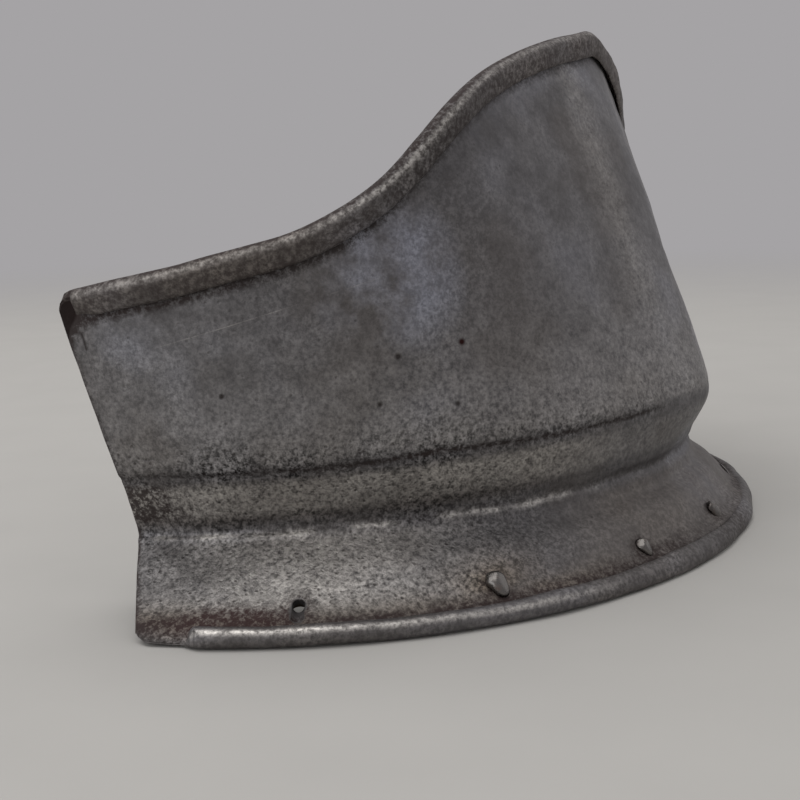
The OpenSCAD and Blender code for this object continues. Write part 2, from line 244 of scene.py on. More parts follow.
def eased(run, over):
    """The S-shaped step over a length in millimetres."""
    return smooth(run / (over * MM))


def falling(run, over):
    """One up to an edge, exp(-x / w) past it."""
    return np.exp(-np.clip(run, 0.0, None) / over)


def even_turns(sides):
    """Angles of so many even steps round a circle."""
    return np.linspace(0.0, 2.0 * np.pi, sides, endpoint=False)


def unit(vectors):
    """The same vectors with length one."""
    return vectors / np.linalg.norm(vectors, axis=-1, keepdims=True)


def waves(x, y, seed, count, shortest, longest):
    """A sum of plane sine waves of random direction, length and phase, scaled to about one."""
    rng = np.random.default_rng(seed)
    total = np.zeros(np.broadcast(x, y).shape)
    for _ in range(count):
        heading = rng.uniform(0.0, np.pi)
        wave = np.exp(rng.uniform(np.log(shortest), np.log(longest)))
        phase = rng.uniform(0.0, 2.0 * np.pi)
        total += np.sin(2.0 * np.pi * (x * np.cos(heading) + y * np.sin(heading)) / wave + phase)
    return total / np.sqrt(0.5 * count)


class PlateForm:
    """The plate's outer face as a function of the angle round the neck and the length up the plate.

    Four level rings, each half an ellipse, stand at the flange's edge, the neck, the crease and the brow.
    The face runs straight from ring to ring and is rounded at the bends, with a keel above the neck.
    """

    step = 1e-4

    def __init__(self, sizes):
        self.s = sizes
        self.upper_curl_r = sizes.upper_wire_d / 2 + sizes.wire_clear
        self.lower_curl_r = sizes.lower_wire_d / 2 + sizes.wire_clear
        flank = 45 * DEG
        rings = [ring(flank) for ring in (self.rim, self.neck, self.crease, self.brow)]
        runs = [float(np.linalg.norm(b - a)) for a, b in zip(rings, rings[1:])]
        self.flange_run, self.band_run, self.upper_run = runs
        self.neck_at = self.flange_run
        self.crease_at = self.flange_run + self.band_run
        self.brow_at = self.crease_at + self.upper_run
        # About how far one radian round the neck is along the plate
        self.arc = sizes.rim_half_width * 0.9

    def ring(self, turn, half_width, reach, setback, side_height, front_height):
        """Half an ellipse round the neck, at another height at the prow than at the sides.

        At an angle t from the prow, x is minus the half width times sin t, y is the setback less
        (reach + setback) cos t, and z goes from the side height to the front height with cos t.
        """
        turn = np.asarray(turn, dtype=float)
        return np.stack((
            -half_width * np.sin(turn),
            setback - (reach + setback) * np.cos(turn),
            side_height + (front_height - side_height) * np.cos(turn)), axis=-1)

    def neck(self, turn):
        """The ring at the neck's crease."""
        s = self.s
        return self.ring(turn, s.neck_half_width, s.neck_reach, s.neck_setback,
                         s.neck_side_height, s.neck_front_height)

    def crease(self, turn):
        """The ring at the upper crease."""
        s = self.s
        return self.ring(turn, s.crease_half_width, s.crease_reach, 0.0,
                         s.crease_side_height, s.crease_front_height)

    def brow(self, turn):
        """The ring at the brow, which is level."""
        s = self.s
        return self.ring(turn, s.brow_half_width, s.brow_reach, 0.0, s.brow_height, s.brow_height)

    def rim(self, turn):
        """The flange's edge, lifted so that the roll under it lies flat on the ground."""
        flat = self.ring(turn, self.s.rim_half_width, self.s.rim_reach, 0.0, 0.0, 0.0)
        across = self.neck(turn) - flat
        run = np.linalg.norm(across[..., :2], axis=-1)
        slant = np.linalg.norm(across, axis=-1)
        flat[..., 2] = self.s.plate_t + self.lower_curl_r * (1.0 - run / slant)
        return flat

    def face(self, turn, up):
        """Outer face, before any sign of the hammer.

        From the flange's edge it climbs along the flange. At the neck and at the crease a rounded ramp adds the
        next direction less the one before, and the keel pushes the prow forwards by a bell curve.
        """
        s = self.s
        turn, up = np.broadcast_arrays(np.asarray(turn, dtype=float), np.asarray(up, dtype=float))
        rim, neck, crease, brow = self.rim(turn), self.neck(turn), self.crease(turn), self.brow(turn)
        flange = (neck - rim) / self.flange_run
        band = (crease - neck) / self.band_run
        upper = (brow - crease) / self.upper_run
        keel = s.keel_rise * bell(turn, s.keel_spread) * smooth((up - self.neck_at) / self.band_run)
        point = rim + flange * up[..., None]
        point = point + (band - flange) * ramp(up - self.neck_at, s.neck_round)[..., None]
        point = point + (upper - band) * ramp(up - self.crease_at, s.crease_round)[..., None]
        point[..., 1] -= keel
        return point

    def outward(self, turn, up):
        """Direction out of the plate, from small differences on the face."""
        d = self.step
        climb = self.face(turn, up + d) - self.face(turn, up - d)
        round_neck = self.face(turn + d, up) - self.face(turn - d, up)
        return unit(np.cross(climb, round_neck))

    def turn_at(self, part, up):
        """Angle at a share of the way from the prow to the rear edge, -1 to 1."""
        return part * (self.s.rear_angle + self.s.rear_gain * up / self.brow_at)

    def edge_height(self, part):
        """Height of the upper edge: a steady rise to the prow and an S-shaped climb.

        The climb is 1 / (1 + exp((x - place) / spread)) over its value at the prow.
        """
        s = self.s

        def climb(x):
            return 1.0 / (1.0 + np.exp((np.abs(x) - s.climb_place) / s.climb_spread))

        steep = s.prow_height - s.rear_height - s.side_rise
        return s.rear_height + s.side_rise * (1.0 - np.abs(part)) + steep * climb(part) / climb(0.0)

    def edge_up(self, part):
        """Length up the plate at which the upper edge lies.

        It is the crease's, plus the upper run times the share of the height from crease to brow.
        """
        start = self.crease(self.turn_at(part, self.crease_at + self.upper_run / 2))[..., 2]
        gain = (self.edge_height(part) - start) / (self.s.brow_height - start)
        return self.crease_at + self.upper_run * gain


def form_now():
    """The plate's form with the sizes that the scene holds."""
    return PlateForm(bpy.context.scene.bevor_sizes)


def colours_now():
    """The colours that the scene holds."""
    return bpy.context.scene.bevor_colours


def rivet_turns(sizes):
    """Angle of each rivet by name, and of the place whose rivet is lost."""
    step = sizes.rivet_spacing
    return {"front": sizes.front_shift, "right_1": step, "right_2": 2 * step, "lost": 3 * step,
            "left_1": -step, "left_2": -2 * step, "left_3": -3 * step}


# Signs of the hammer, wear and dirt on the plate

def off_prow(turn, start, span):
    """An S-shaped step of the angle off the prow, from a start over a span in degrees."""
    return smooth((np.abs(turn) - start * DEG) / (span * DEG))


def near_prow(turn):
    """One at the prow, nought from 50 degrees off it."""
    return 1.0 - off_prow(turn, 0, 50)


def crease_fade(turn):
    """The upper crease dies away towards the prow: nought up to 8 degrees off it, one from 18 degrees."""
    return off_prow(turn, 8, 10)


def crease_line(form, turn):
    """Place of the upper crease up the plate, a little unsteady as drawn by hand."""
    return form.crease_at + 0.2 * MM * waves(turn * form.arc, 0.0, *CREASE_WAVES)


def neck_line(form, turn):
    """Place of the neck's crease up the plate, a little unsteady too."""
    return form.neck_at + 0.18 * MM * waves(turn * form.arc, 0.0, *NECK_WAVES)


def hammered(form, turn, up):
    """How far the face stands out of its plain form: planishing marks, creases, a bead and a fillet."""
    along = turn * form.arc
    ahead, fade = near_prow(turn), crease_fade(turn)
    marks = 0.13 * MM * waves(along, up, *MARK_WAVES) + 0.03 * MM * waves(along, up, *SMALL_MARK_WAVES)

    # The upper crease: a groove below, and metal that stands proud above it and falls off over 14 mm
    over_crease = up - crease_line(form, turn)
    groove = 0.2 * MM * bell(over_crease, 0.6 * MM)
    proud = 0.4 * MM * smooth(0.5 + over_crease / (1.4 * MM)) * falling(over_crease, 14 * MM)

    # The neck: a groove, a wide hollow below it at the prow, and a bead at the sides
    over_neck = up - neck_line(form, turn)
    depth, width = (0.12 + 1.1 * ahead ** 2) * MM, (0.8 + 0.6 * ahead) * MM
    neck_groove = depth * bell(over_neck + 0.5 * MM * ahead, width)
    neck_hollow = 1.7 * MM * (1.0 - off_prow(turn, 0, 70)) * bell(over_neck + 5 * MM, 4 * MM)
    neck_bead = 0.22 * MM * bell(over_neck + 1.3 * MM, 0.8 * MM) * (1.0 - ahead)

    # The fillet between the face and the lip of the lower roll
    past_lip = up - (1.9 + 1.2 * ahead) * MM
    fillet = (0.15 + 1.7 * ahead) * MM * smooth(1.0 + past_lip / form.s.roll_t) * falling(past_lip, 2.2 * MM)
    return marks + (proud - groove) * fade - neck_groove - neck_hollow + neck_bead + fillet


def edge_wander(form, part):
    """The turned edges wander a little along their length."""
    return 0.14 * MM * waves(part * form.arc * 1.5, 0.0, *EDGE_WAVES)


def grime_and_shade_amount(form, turn, up, upper_edge_up):
    """Dirt and painted shade in one: darker along the two creases, at the rear foot and at the band's rear end, a
    stain, painted shadow under the upper roll's flap, and dirt with painted shade in the groove above the lower
    roll and round the rivets.

    Each place adds a bell curve of the distance from it.
    """
    s = form.s
    over_crease = up - crease_line(form, turn)
    over_neck = up - neck_line(form, turn)
    fade, ahead, rear = crease_fade(turn), near_prow(turn), off_prow(turn, 60, 15)
    rear_end = bell(turn - form.turn_at(1.0, up), 8 * DEG)
    on_band = eased(form.crease_at - up, 3) * eased(up - form.neck_at - 2 * MM, 3)
    under_flap = upper_edge_up - s.flap_run - up
    upper_crease = (
        (0.85 - 0.45 * rear) * bell(over_crease, 0.7 * MM) + 0.15 * bell(over_crease - 1.5 * MM, 2.5 * MM)) * fade
    neck = (1.0 - 0.7 * rear) * (
        0.35 * bell(over_neck + 0.2 * MM, 0.7 * MM) + 0.15 * bell(over_neck - 2.5 * MM, 3 * MM))
    rear_foot = 0.25 * rear * bell(up - 3 * MM, 5 * MM)
    # Painted shadow under the upper roll's flap
    shadow_under_flap = (0.5 + 0.5 * off_prow(turn, 36, 18)) * bell(under_flap - 0.2 * MM, 1.3 * MM)
    # Above the lower roll: dirt in the groove, with painted shade where the roll overhangs it
    groove_dirt_and_shade = (0.45 + 0.45 * fade) * bell(up - (2.7 + 1.2 * ahead) * MM, (2 + 2.5 * ahead) * MM)
    stain = 0.95 * bell(up - 5.5 * MM, 2 * MM) * bell(turn - 69 * DEG, 4.5 * DEG)
    total = upper_crease + neck + rear_foot + 1.1 * rear_end * on_band + shadow_under_flap + groove_dirt_and_shade + stain
    # Round each rivet: dirt and painted shade at its foot
    for place in rivet_turns(s).values():
        off = np.hypot((turn - place) * form.arc, up - s.rivet_up)
        total = total + 0.6 * bell(off - 2.0 * MM, 1.3 * MM)
    return np.clip(total, 0.0, 1.0)


def wear_and_light_amount(form, turn, up):
    """Rubbed places and painted light: worn metal on the bead below the neck and on both flanks of the flange,
    wear with a painted sheen beside the keel, and painted light on the band and just above the upper crease.

    Each place adds a bell curve or S-shaped steps of the distance from it.
    """
    flank, rear = off_prow(turn, 18, 22), off_prow(turn, 45, 30)
    broken = np.clip(0.55 + 0.6 * waves(turn * form.arc, 0.0, *BEAD_WAVES), 0.0, 1.0)
    bead = 1.3 * bell(up - neck_line(form, turn) + 0.9 * MM, 0.7 * MM) * flank * broken
    on_flange = eased(form.neck_at - up, 4) * eased(up - 3 * MM, 6)
    flange = 0.7 * on_flange * bell(np.abs(turn) - 63 * DEG, 15 * DEG)
    over_crease = up - form.crease_at
    # Beside the keel: wear and a painted sheen
    keel_wear_and_sheen = 0.22 * bell(np.abs(turn) - 8 * DEG, 3 * DEG) * eased(over_crease - 12 * MM, 20)
    # On the band, which faces down: painted light
    from_creases = np.minimum(up - form.neck_at - 3 * MM, -over_crease - 1 * MM)
    band = eased(from_creases, 3) * (0.2 + 0.5 * flank + 0.2 * rear)
    # Just above the upper crease, where the face turns down: painted light
    over = (0.36 - 0.2 * rear) * eased(over_crease, 3) * bell(over_crease, 22 * MM)
    return np.clip(bead + flange + keel_wear_and_sheen + band + over, 0.0, 1.0)


def bloom_amount(form, turn, up):
    """Thin brown rust: above the lower roll and, fainter, on the neck band and the front of the flange."""
    flank = off_prow(turn, 18, 22)
    band = eased(up - form.neck_at, 4) * eased(form.crease_at - up, 4)
    front = (1.0 - flank) * eased(form.neck_at - up, 4)
    rivet = bell(turn - rivet_turns(form.s)["right_2"], 6 * DEG) * bell(up - 8 * MM, 6 * MM)
    return np.maximum(0.8 * bell(up - 4 * MM, 4 * MM) * flank, rivet) + 0.3 * band * flank + 0.4 * front


def pitting_amount(form, turn, up):
    """Coarse pitting: heavy on flange and neck band towards the rear, light on the upper plate."""
    flank = off_prow(turn, 25, 20)
    over_crease = up - form.crease_at
    low = 1.0 - eased(over_crease, 12)
    crease = 0.35 * bell(over_crease - 1.5 * MM, 3 * MM) * crease_fade(turn)
    return 0.24 + 0.18 * flank + low * (0.15 + 0.4 * flank) + crease


# Making meshes

def put_mesh(name, points, faces):
    """Makes a mesh object at the origin from points and faces, smooth shaded."""
    mesh = bpy.data.meshes.new(name)
    mesh.from_pydata(points.reshape(-1, 3), [], faces.tolist())
    mesh.shade_smooth()
    mesh.update()
    piece = bpy.data.objects.new(name, mesh)
    bpy.context.scene.collection.objects.link(piece)
    return piece


def add_attribute(piece, name, values):
    """Stores one number at each point of a piece."""
    piece.data.attributes.new(name, "FLOAT", "POINT").data.foreach_set("value", values.astype(np.float32))


def points_of(piece):
    """Places of a piece's points."""
    places = np.empty(3 * len(piece.data.vertices), dtype=np.float32)
    piece.data.vertices.foreach_get("co", places)
    return places.reshape(-1, 3)


def grid_faces(numbers):
    """Faces between neighbouring columns and rows of a grid of point numbers."""
    here, there = numbers[:-1], numbers[1:]
    return np.stack((here[:, :-1], here[:, 1:], there[:, 1:], there[:, :-1]), axis=-1).reshape(-1, 4)


def sheet_faces(columns, rows):
    """Faces of a sheet with two sides: both sides and the four edges between them."""
    front = np.arange(columns * rows).reshape(columns, rows)
    back = front + columns * rows
    loop_front = np.concatenate((front[:, 0], front[-1, 1:], front[-2::-1, -1], front[0, -2::-1]))
    loop_back = loop_front + columns * rows
    rim = np.stack((loop_front, loop_back), axis=1)
    return np.concatenate((grid_faces(front), grid_faces(back)[:, ::-1], grid_faces(rim)[:, ::-1]))


def tube_faces(rings, sides):
    """Faces of a tube whose rings close on themselves."""
    numbers = np.arange(rings * sides).reshape(rings, sides)
    return grid_faces(np.concatenate((numbers, numbers[:, :1]), axis=1))


def merge_doubles(piece):
    """Closes poles and seams by merging points that lie on each other, and turns the faces outwards."""
    mesh = bmesh.new()
    mesh.from_mesh(piece.data)
    bmesh.ops.remove_doubles(mesh, verts=mesh.verts, dist=1e-3 * MM)
    bmesh.ops.recalc_face_normals(mesh, faces=mesh.faces)
    mesh.to_mesh(piece.data)
    mesh.free()


def rounded_edge(distance, radius):
    """How much thinner a sheet is close to its edge: a quarter circle, r - sqrt(r^2 - (r - d)^2)."""
    inside = np.clip(radius - distance, 0.0, radius)
    return radius - np.sqrt(np.maximum(radius * radius - inside * inside, 0.0))


def edge_spaced(count, total, radius):
    """Places from nought to total, with three more close to each end for the rounded edge."""
    close = radius * np.array([0.0, 0.15, 0.45])
    return np.concatenate((close, np.linspace(radius, total - radius, count), total - close[::-1]))


def finish_piece(piece, material, slot, *nodes):
    """Gives a piece its material and its body, and hides the solids that it stands for. Its slot is not used."""
    piece.data.materials.clear()
    piece.data.materials.append(material)
    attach(piece, BODY)
    if nodes:
        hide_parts(*nodes)


# Plate

def along_edge(part, values, where):
    """Values given at each column's part, read off at other parts along the same edge."""
    return np.stack([np.interp(where, part, column) for column in values.T], axis=-1)


def roll_wall(sizes, full_turn):
    """Thickness of each row of a roll: the plate's up to 60 degrees, drawn out to the roll's at 150 degrees."""
    turns = np.linspace(0.0, full_turn, ROLL_STEPS + 1)[1:]
    wall = np.interp(turns, (60 * DEG, 150 * DEG), (sizes.plate_t, sizes.roll_t))
    return np.concatenate((wall, np.full(LIP_STEPS, sizes.roll_t)))


def rolled_edge(part, edge, curl_r, wide, wall, full_turn, back, cut):
    """Section of a roll along one edge of the plate, turned outwards round a wire.

    edge holds, for each column, where the roll starts, the direction out of the plate and the direction past
    the edge. The middle of the sheet turns about the wire's centre, which lies one curl radius out from the
    start, on an ellipse that is so much wider along the plate than it is high. A straight lip then runs back
    by so much against past and out of the plate. All rows but the first are cut back at the rear corners and
    the lip gets shorter there, so that the roll is open. Gives the middle, the direction to the wire side and
    how far along the section each row is.
    """
    turns = np.linspace(0.0, full_turn, ROLL_STEPS + 1)[1:]
    lip = np.linspace(0.0, 1.0, LIP_STEPS + 1)[1:] ** 0.7
    short = cut * np.concatenate((smooth((turns - 25 * DEG) / (60 * DEG)), 1.0 - 0.05 * lip))
    weight = smooth((np.abs(part) - OPEN_FROM) / (1.0 - OPEN_FROM))
    where = part[:, None] - (np.sign(part) * weight)[:, None] * short[None, :]
    start, normal, past = (along_edge(part, values, where) for values in edge)
    radius = np.interp(where, part, curl_r)[..., None]
    wider = np.interp(where, part, wide)[..., None]
    turn = np.concatenate((turns, np.full(LIP_STEPS, full_turn)))[None, :, None]
    to_wire = normal * np.cos(turn) - past * np.sin(turn)
    reach = radius + wall[..., None] / 2
    middle = start + normal * radius - (normal * np.cos(turn) - past * np.sin(turn) * wider) * reach
    step = np.concatenate((np.zeros(ROLL_STEPS), lip))[None, :, None] * (1.0 - 0.22 * weight)[:, None, None]
    against_past, inwards = back(radius)
    middle = middle - step * (past * against_past + normal * inwards)
    return middle, to_wire, np.concatenate((turns, full_turn + lip))


def section_rows(low, high):
    """Lengths up the plate of the rows of each column, close together at the two creases."""
    fixed = np.concatenate([np.arange(*rows) for rows in KNEE_ROWS]) * MM
    lower = low[:, None] + (KNEE - low)[:, None] * (fixed / KNEE)[None, :]
    upper = KNEE + (high - KNEE)[:, None] * np.linspace(0.0, 1.0, UPPER_ROWS)[None, :]
    return np.concatenate((lower, upper), axis=1)


def plate_surface(form):
    """Both faces of the whole plate, and what lies where on it.

    Columns go round the neck and rows go from the lower lip over the face to the upper lip. Each point is
    the middle of the sheet plus or minus half its thickness along its normal.
    """
    s = form.s
    arc = edge_spaced(PLATE_COLUMNS, 2.0, EDGE_ROUND / (s.rear_angle * form.arc))
    arc = np.sort(np.concatenate((arc, 1.0 - FLAT_COLUMNS, 1.0 + FLAT_COLUMNS)))
    part = arc - 1.0
    from_end = np.minimum(arc, 2.0 - arc) * s.rear_angle * form.arc

    # How far a rounded corner cuts into an edge: r - r sqrt(1 - n^2), where n = 1 - d / r at d from the rear edge
    def corner(radius):
        near = np.clip(1.0 - from_end / radius, 0.0, 0.95)
        return radius * (1.0 - np.sqrt(1.0 - near * near))

    # The rolls: the lower one is wider and flatter at the prow and hammered flat at its ends
    flat_end = smooth((np.abs(part) - FLAT_FROM) / FLAT_OVER)
    ahead = near_prow(form.turn_at(part, 0.0))
    uneven = 0.05 * waves(part * form.arc * 1.5, 0.0, *ROLL_WAVES)
    lower_wide = 1.0 + (0.1 + 1.2 * ahead) * (1.0 - flat_end)
    tight_r = form.lower_curl_r * (1.0 - 0.14 * ahead)
    lower_r = tight_r * (1.0 + uneven) * (1.0 - 0.995 * flat_end)
    lower_wall = roll_wall(s, LOWER_ROLL) * (1.0 - 0.4 * ahead - 0.985 * flat_end)[:, None]
    upper_r = form.upper_curl_r * (1.0 - uneven)
    upper_wall = roll_wall(s, UPPER_ROLL)[None, :]

    # The lower roll's wide places start further in, so that it reaches no further out than a plain one
    quarter = ROLL_STEPS // 3
    plain = form.lower_curl_r + roll_wall(s, LOWER_ROLL)[quarter]
    half_wall = lower_wall[:, quarter] / 2
    reach = lower_wide * (tight_r + half_wall) + half_wall
    lower_line = (reach - plain) * (1.0 - flat_end) - 0.5 * MM * flat_end
    upper_line = form.edge_up(part) + edge_wander(form, part)

    # Face of the plate between its two edges, with rounded rear corners and the hammer's marks
    low = lower_line + corner(3.0 * MM)
    high = upper_line - corner(3.2 * MM)
    up = section_rows(low, high)
    wander = 0.1 * MM * waves(up, part[:, None] * MM, *REAR_WAVES) / form.arc
    turn = form.turn_at(part[:, None], up) + wander * part[:, None] ** 8
    normal = form.outward(turn, up)
    face = form.face(turn, up) + normal * hammered(form, turn, up)[..., None]

    # Start of a roll: its points, the direction out of the plate and the direction past the edge, which is square
    # to the edge's own run
    def edge(row, side, line, sunk):
        run = np.gradient(form.face(form.turn_at(part, line), line), axis=0) * side
        past = unit(np.cross(run, normal[:, row]))
        return face[:, row] - normal[:, row] * sunk[:, None], unit(np.cross(past, run)), past

    lower_edge = edge(0, -1.0, lower_line, s.plate_t / 2 * flat_end)
    lower_middle, lower_side, lower_turn = rolled_edge(
        part, lower_edge, lower_r, lower_wide, lower_wall, LOWER_ROLL,
        lambda radius: (0.0, np.maximum(radius - s.lip_gap, 0.0)), 0.0)
    upper_edge = edge(-1, 1.0, upper_line, np.zeros(len(part)))
    upper_middle, upper_side, upper_turn = rolled_edge(
        part, upper_edge, upper_r, np.ones(len(part)), upper_wall, UPPER_ROLL,
        lambda radius: (s.flap_run, 2.0 * radius - s.lip_gap), ROLL_END_CUT / (s.rear_angle * form.arc))
    middle = np.concatenate((lower_middle[:, ::-1], face - normal * s.plate_t / 2, upper_middle), axis=1)
    side = np.concatenate((lower_side[:, ::-1], normal, upper_side), axis=1)

    # Thickness, rounded off along the lips and the rear edges, and hammered thin where the lower roll ends
    rolls = lower_middle.shape[1]
    lip = np.linspace(0.0, 1.0, LIP_STEPS + 1)[1:]
    from_lip = np.full(middle.shape[1], 1.0)
    from_lip[:LIP_STEPS] = ((1.0 - lip) * form.lower_curl_r)[::-1]
    from_lip[-LIP_STEPS:] = (1.0 - lip) * s.flap_run
    thin = rounded_edge(from_end, EDGE_ROUND)[:, None] + rounded_edge(from_lip, EDGE_ROUND)[None, :]
    thickness = np.full(middle.shape[:2], s.plate_t)
    thickness[:, rolls:-rolls] -= 0.8 * MM * flat_end[:, None] * bell(up - low[:, None], 1.6 * MM)
    thickness[:, :rolls] = lower_wall[:, ::-1]
    thickness[:, -rolls:] = upper_wall
    half = np.maximum(thickness / 2 - thin, 0.12 * MM)[..., None]
    points = np.concatenate((middle + side * half, middle - side * half)).reshape(-1, 3)

    # What the material needs: dirt with painted shade, wear with painted light, pitting, bloom, and which points
    # are on the inner face. Each is one table of the lower roll, the face and the upper roll
    def spread(on_face, on_lower, on_upper):
        lower = np.broadcast_to(on_lower[..., ::-1], (len(part), rolls))
        upper = np.broadcast_to(on_upper, (len(part), rolls))
        return np.concatenate((lower, on_face, upper), axis=1)

    none = np.zeros(rolls)
    tip = bell(turn[:, :1], 8 * DEG)
    steep = bell(np.abs(turn[:, -1:]) - 40 * DEG, 12 * DEG)
    outline = 104 * DEG + 22 * DEG * steep
    crest = bell(upper_turn - outline - 38 * DEG, 16 * DEG)
    flap = smooth((upper_turn - 170 * DEG) / (30 * DEG))
    # Painted shade on the lower roll's underside
    roll_underside_shade = smooth((lower_turn - 200 * DEG) / (50 * DEG))
    rolled = 1.0 - flat_end[:, None]
    rubbed_and_lit = off_prow(turn[:, :1], 24, 18) * rolled
    # Painted shade, with some dirt, in the upper roll's open ends and under the ends of its flap
    open_end_shade = 9.0 * bell(from_end, 4.5 * MM)[:, None] * bell(high[:, None] - up, 4 * MM)
    # Painted shade on the rear edges
    rear_edge_shade = 0.9 * bell(from_end, 0.9 * MM)[:, None]
    past_outline = smooth((upper_turn - outline) / (22 * DEG))
    # Besides: the lower roll a little darker all along and more at the prow, the upper roll darkest on its back up
    # to its outline
    dirt_and_shade = spread(
        np.maximum(grime_and_shade_amount(form, turn, up, high[:, None]), open_end_shade + rear_edge_shade),
        (0.14 + 0.35 * tip + (0.7 - 0.6 * ahead[:, None]) * roll_underside_shade) * rolled,
        1.0 - 0.6 * past_outline + 0.12 * flap + 0.1 * steep * crest)
    # Roll crests: wear with a painted highlight where they face the light
    wear_and_light = spread(
        wear_and_light_amount(form, turn, up), 1.25 * bell(lower_turn - 162 * DEG, 17 * DEG) * rubbed_and_lit,
        (0.4 + 0.7 * steep) * crest)
    # Inside the rolls, towards the wires: dirt and painted shade
    dirt_and_shade_in_rolls = spread(dirt_and_shade[:, rolls:-rolls], none + 1.0, none + 1.0)
    pitting = spread(pitting_amount(form, turn, up), none + 0.5, none + 0.5 + 0.35 * steep)
    bloom = spread(bloom_amount(form, turn, up), none + 0.2, none + 0.45 - 0.3 * steep)
    inner = spread(eased(np.minimum(up - low[:, None], high[:, None] - up), 3), none, none)
    sides = {
        "grime_and_shade": (dirt_and_shade_in_rolls, dirt_and_shade), "wear_and_light": (wear_and_light, wear_and_light), "pitting": (pitting, pitting), "bloom": (bloom, bloom),
        "inner": (0 * inner, inner)}
    return points, middle.shape[:2], {name: np.concatenate(both).ravel() for name, both in sides.items()}


def hole_cutter(form, turn, torn=0.0):
    """A straight pin through one rivet's place, along the plate's normal, wider where the hole is torn.

    It reaches from 8 mm inside the face to 4 mm outside it.
    """
    s = form.s
    radius = s.shank_d / 2 + s.shank_clear + torn
    profile = np.array([(0.0, -8 * MM), (radius, -8 * MM), (radius, 4 * MM), (0.0, 4 * MM)])
    return put_turned("hole_cutter", form.face(turn, s.rivet_up), form.outward(turn, s.rivet_up),
                      *turned_points(profile, HOLE_SIDES))


def channel_cutter(form, turn):
    """A round-ended pin from one rivet's place down towards the flange's edge, 0.45 mm outside the face."""
    s = form.s
    outward = form.outward(turn, s.rivet_up)
    downwards = unit(form.face(turn, s.rivet_up - 4 * MM) - form.face(turn, s.rivet_up))
    radius, run = 1.3 * MM, 4.4 * MM
    tip = np.linspace(0.0, np.pi, 17)[:, None]
    along = np.where(tip < np.pi / 2, run - radius, 0.0) + radius * np.cos(tip)
    profile = np.concatenate((radius * np.sin(tip), along), axis=1)
    return put_turned("channel_cutter", form.face(turn, s.rivet_up) + 0.45 * MM * outward, downwards,
                      *turned_points(profile, CHANNEL_SIDES))


def cut_away(piece, cutter):
    """Cuts one shape out of a piece."""
    cut = piece.modifiers.new("rivet_hole", "BOOLEAN")
    cut.operation = "DIFFERENCE"
    cut.solver = "EXACT"
    cut.object = cutter
    with bpy.context.temp_override(object=piece, active_object=piece):
        bpy.ops.object.modifier_apply(modifier=cut.name)
    bpy.data.objects.remove(cutter)


def axes_about(axis):
    """Two directions square to an axis and to each other, the first level."""
    level = unit(np.cross((0.0, 0.0, 1.0), axis))
    return level, np.cross(axis, level)


def turned_points(profile, sides):
    """Points x, y, z of a turned shape: each profile point is (distance from the axis, height along it)."""
    spin = even_turns(sides)[None, :]
    radius, height = profile[:, :1], profile[:, 1:]
    return radius * np.cos(spin), radius * np.sin(spin), height + 0.0 * spin


def put_turned(name, centre, axis, x, y, z):
    """Makes a turned shape stand on a centre, its z along the axis and its x level."""
    level, slope = axes_about(axis)
    points = centre + x[..., None] * level + y[..., None] * slope + z[..., None] * axis
    piece = put_mesh(name, points, tube_faces(*x.shape))
    merge_doubles(piece)
    return piece


class BEVOR_OT_plate(bpy.types.Operator):
    """Builds the steel plate with its creases, keel, rolled edges and empty rivet hole"""

    bl_idname = "bevor.plate"
    bl_label = "Plate"

    def execute(self, context):
        form = form_now()
        points, (columns, rows), attributes = plate_surface(form)
        piece = put_mesh("plate", points, sheet_faces(columns, rows))
        for name, values in attributes.items():
            add_attribute(piece, name, values)
        lost = rivet_turns(form.s)["lost"]
        cut_away(piece, hole_cutter(form, lost))
        cut_away(piece, channel_cutter(form, lost))
        finish_piece(piece, pitted_steel(), "plate_steel", "bevor_plate")
        return {"FINISHED"}


# Lining band and its stitches

def band_depth(sizes):
    """How far below the face the band starts: the plate and the clearance."""
    return sizes.plate_t + sizes.seat_clear


class BEVOR_OT_lining_band(bpy.types.Operator):
    """Builds the leather band that the rivets hold inside the flange"""

    bl_idname = "bevor.lining_band"
    bl_label = "Lining band"

    def execute(self, context):
        form = form_now()
        s = form.s
        arc = edge_spaced(BAND_COLUMNS, 2.0 * BAND_END, EDGE_ROUND / (s.rear_angle * form.arc))
        part = (arc - BAND_END)[:, None]
        wide = edge_spaced(BAND_ROWS, s.band_width, EDGE_ROUND)[None, :]
        uneven = 0.3 * MM
        trim = uneven * waves(part * form.arc, wide * 0.0, *TRIM_WAVES) * (2 * wide / s.band_width - 1)
        up = s.band_low + uneven + wide * (1.0 - 2 * uneven / s.band_width) + trim
        turn = form.turn_at(part, up)

        # It lies on the inner face at the rivets and bows away between them, by (1 - cos) / 2 of the way. Each
        # point is the middle of the strap plus or minus half its rounded thickness along the normal
        between = 0.5 - 0.5 * np.cos(2 * np.pi * turn / s.rivet_spacing)
        slack = uneven * between * (0.6 + 0.4 * waves(part * form.arc, up, *SLACK_WAVES))
        normal = form.outward(turn, up)
        from_side = np.minimum(wide, s.band_width - wide)
        from_end = np.minimum(arc, 2.0 * BAND_END - arc)[:, None] * s.rear_angle * form.arc
        thin = rounded_edge(from_side, EDGE_ROUND) + rounded_edge(from_end, EDGE_ROUND)
        half = np.maximum(s.band_t / 2 - thin, 0.1 * MM)[..., None]
        depth = (band_depth(s) + s.band_t / 2 + np.clip(slack, 0, None) + 0.1 * MM)[..., None]
        middle = form.face(turn, up) - normal * depth
        points = np.concatenate((middle + normal * half, middle - normal * half))
        piece = put_mesh("lining_strip", points, sheet_faces(*turn.shape))
        cut_away(piece, hole_cutter(form, rivet_turns(s)["lost"], torn=1.0 * MM))
        finish_piece(piece, strap_leather(), "band_leather", "lining_band")
        return {"FINISHED"}


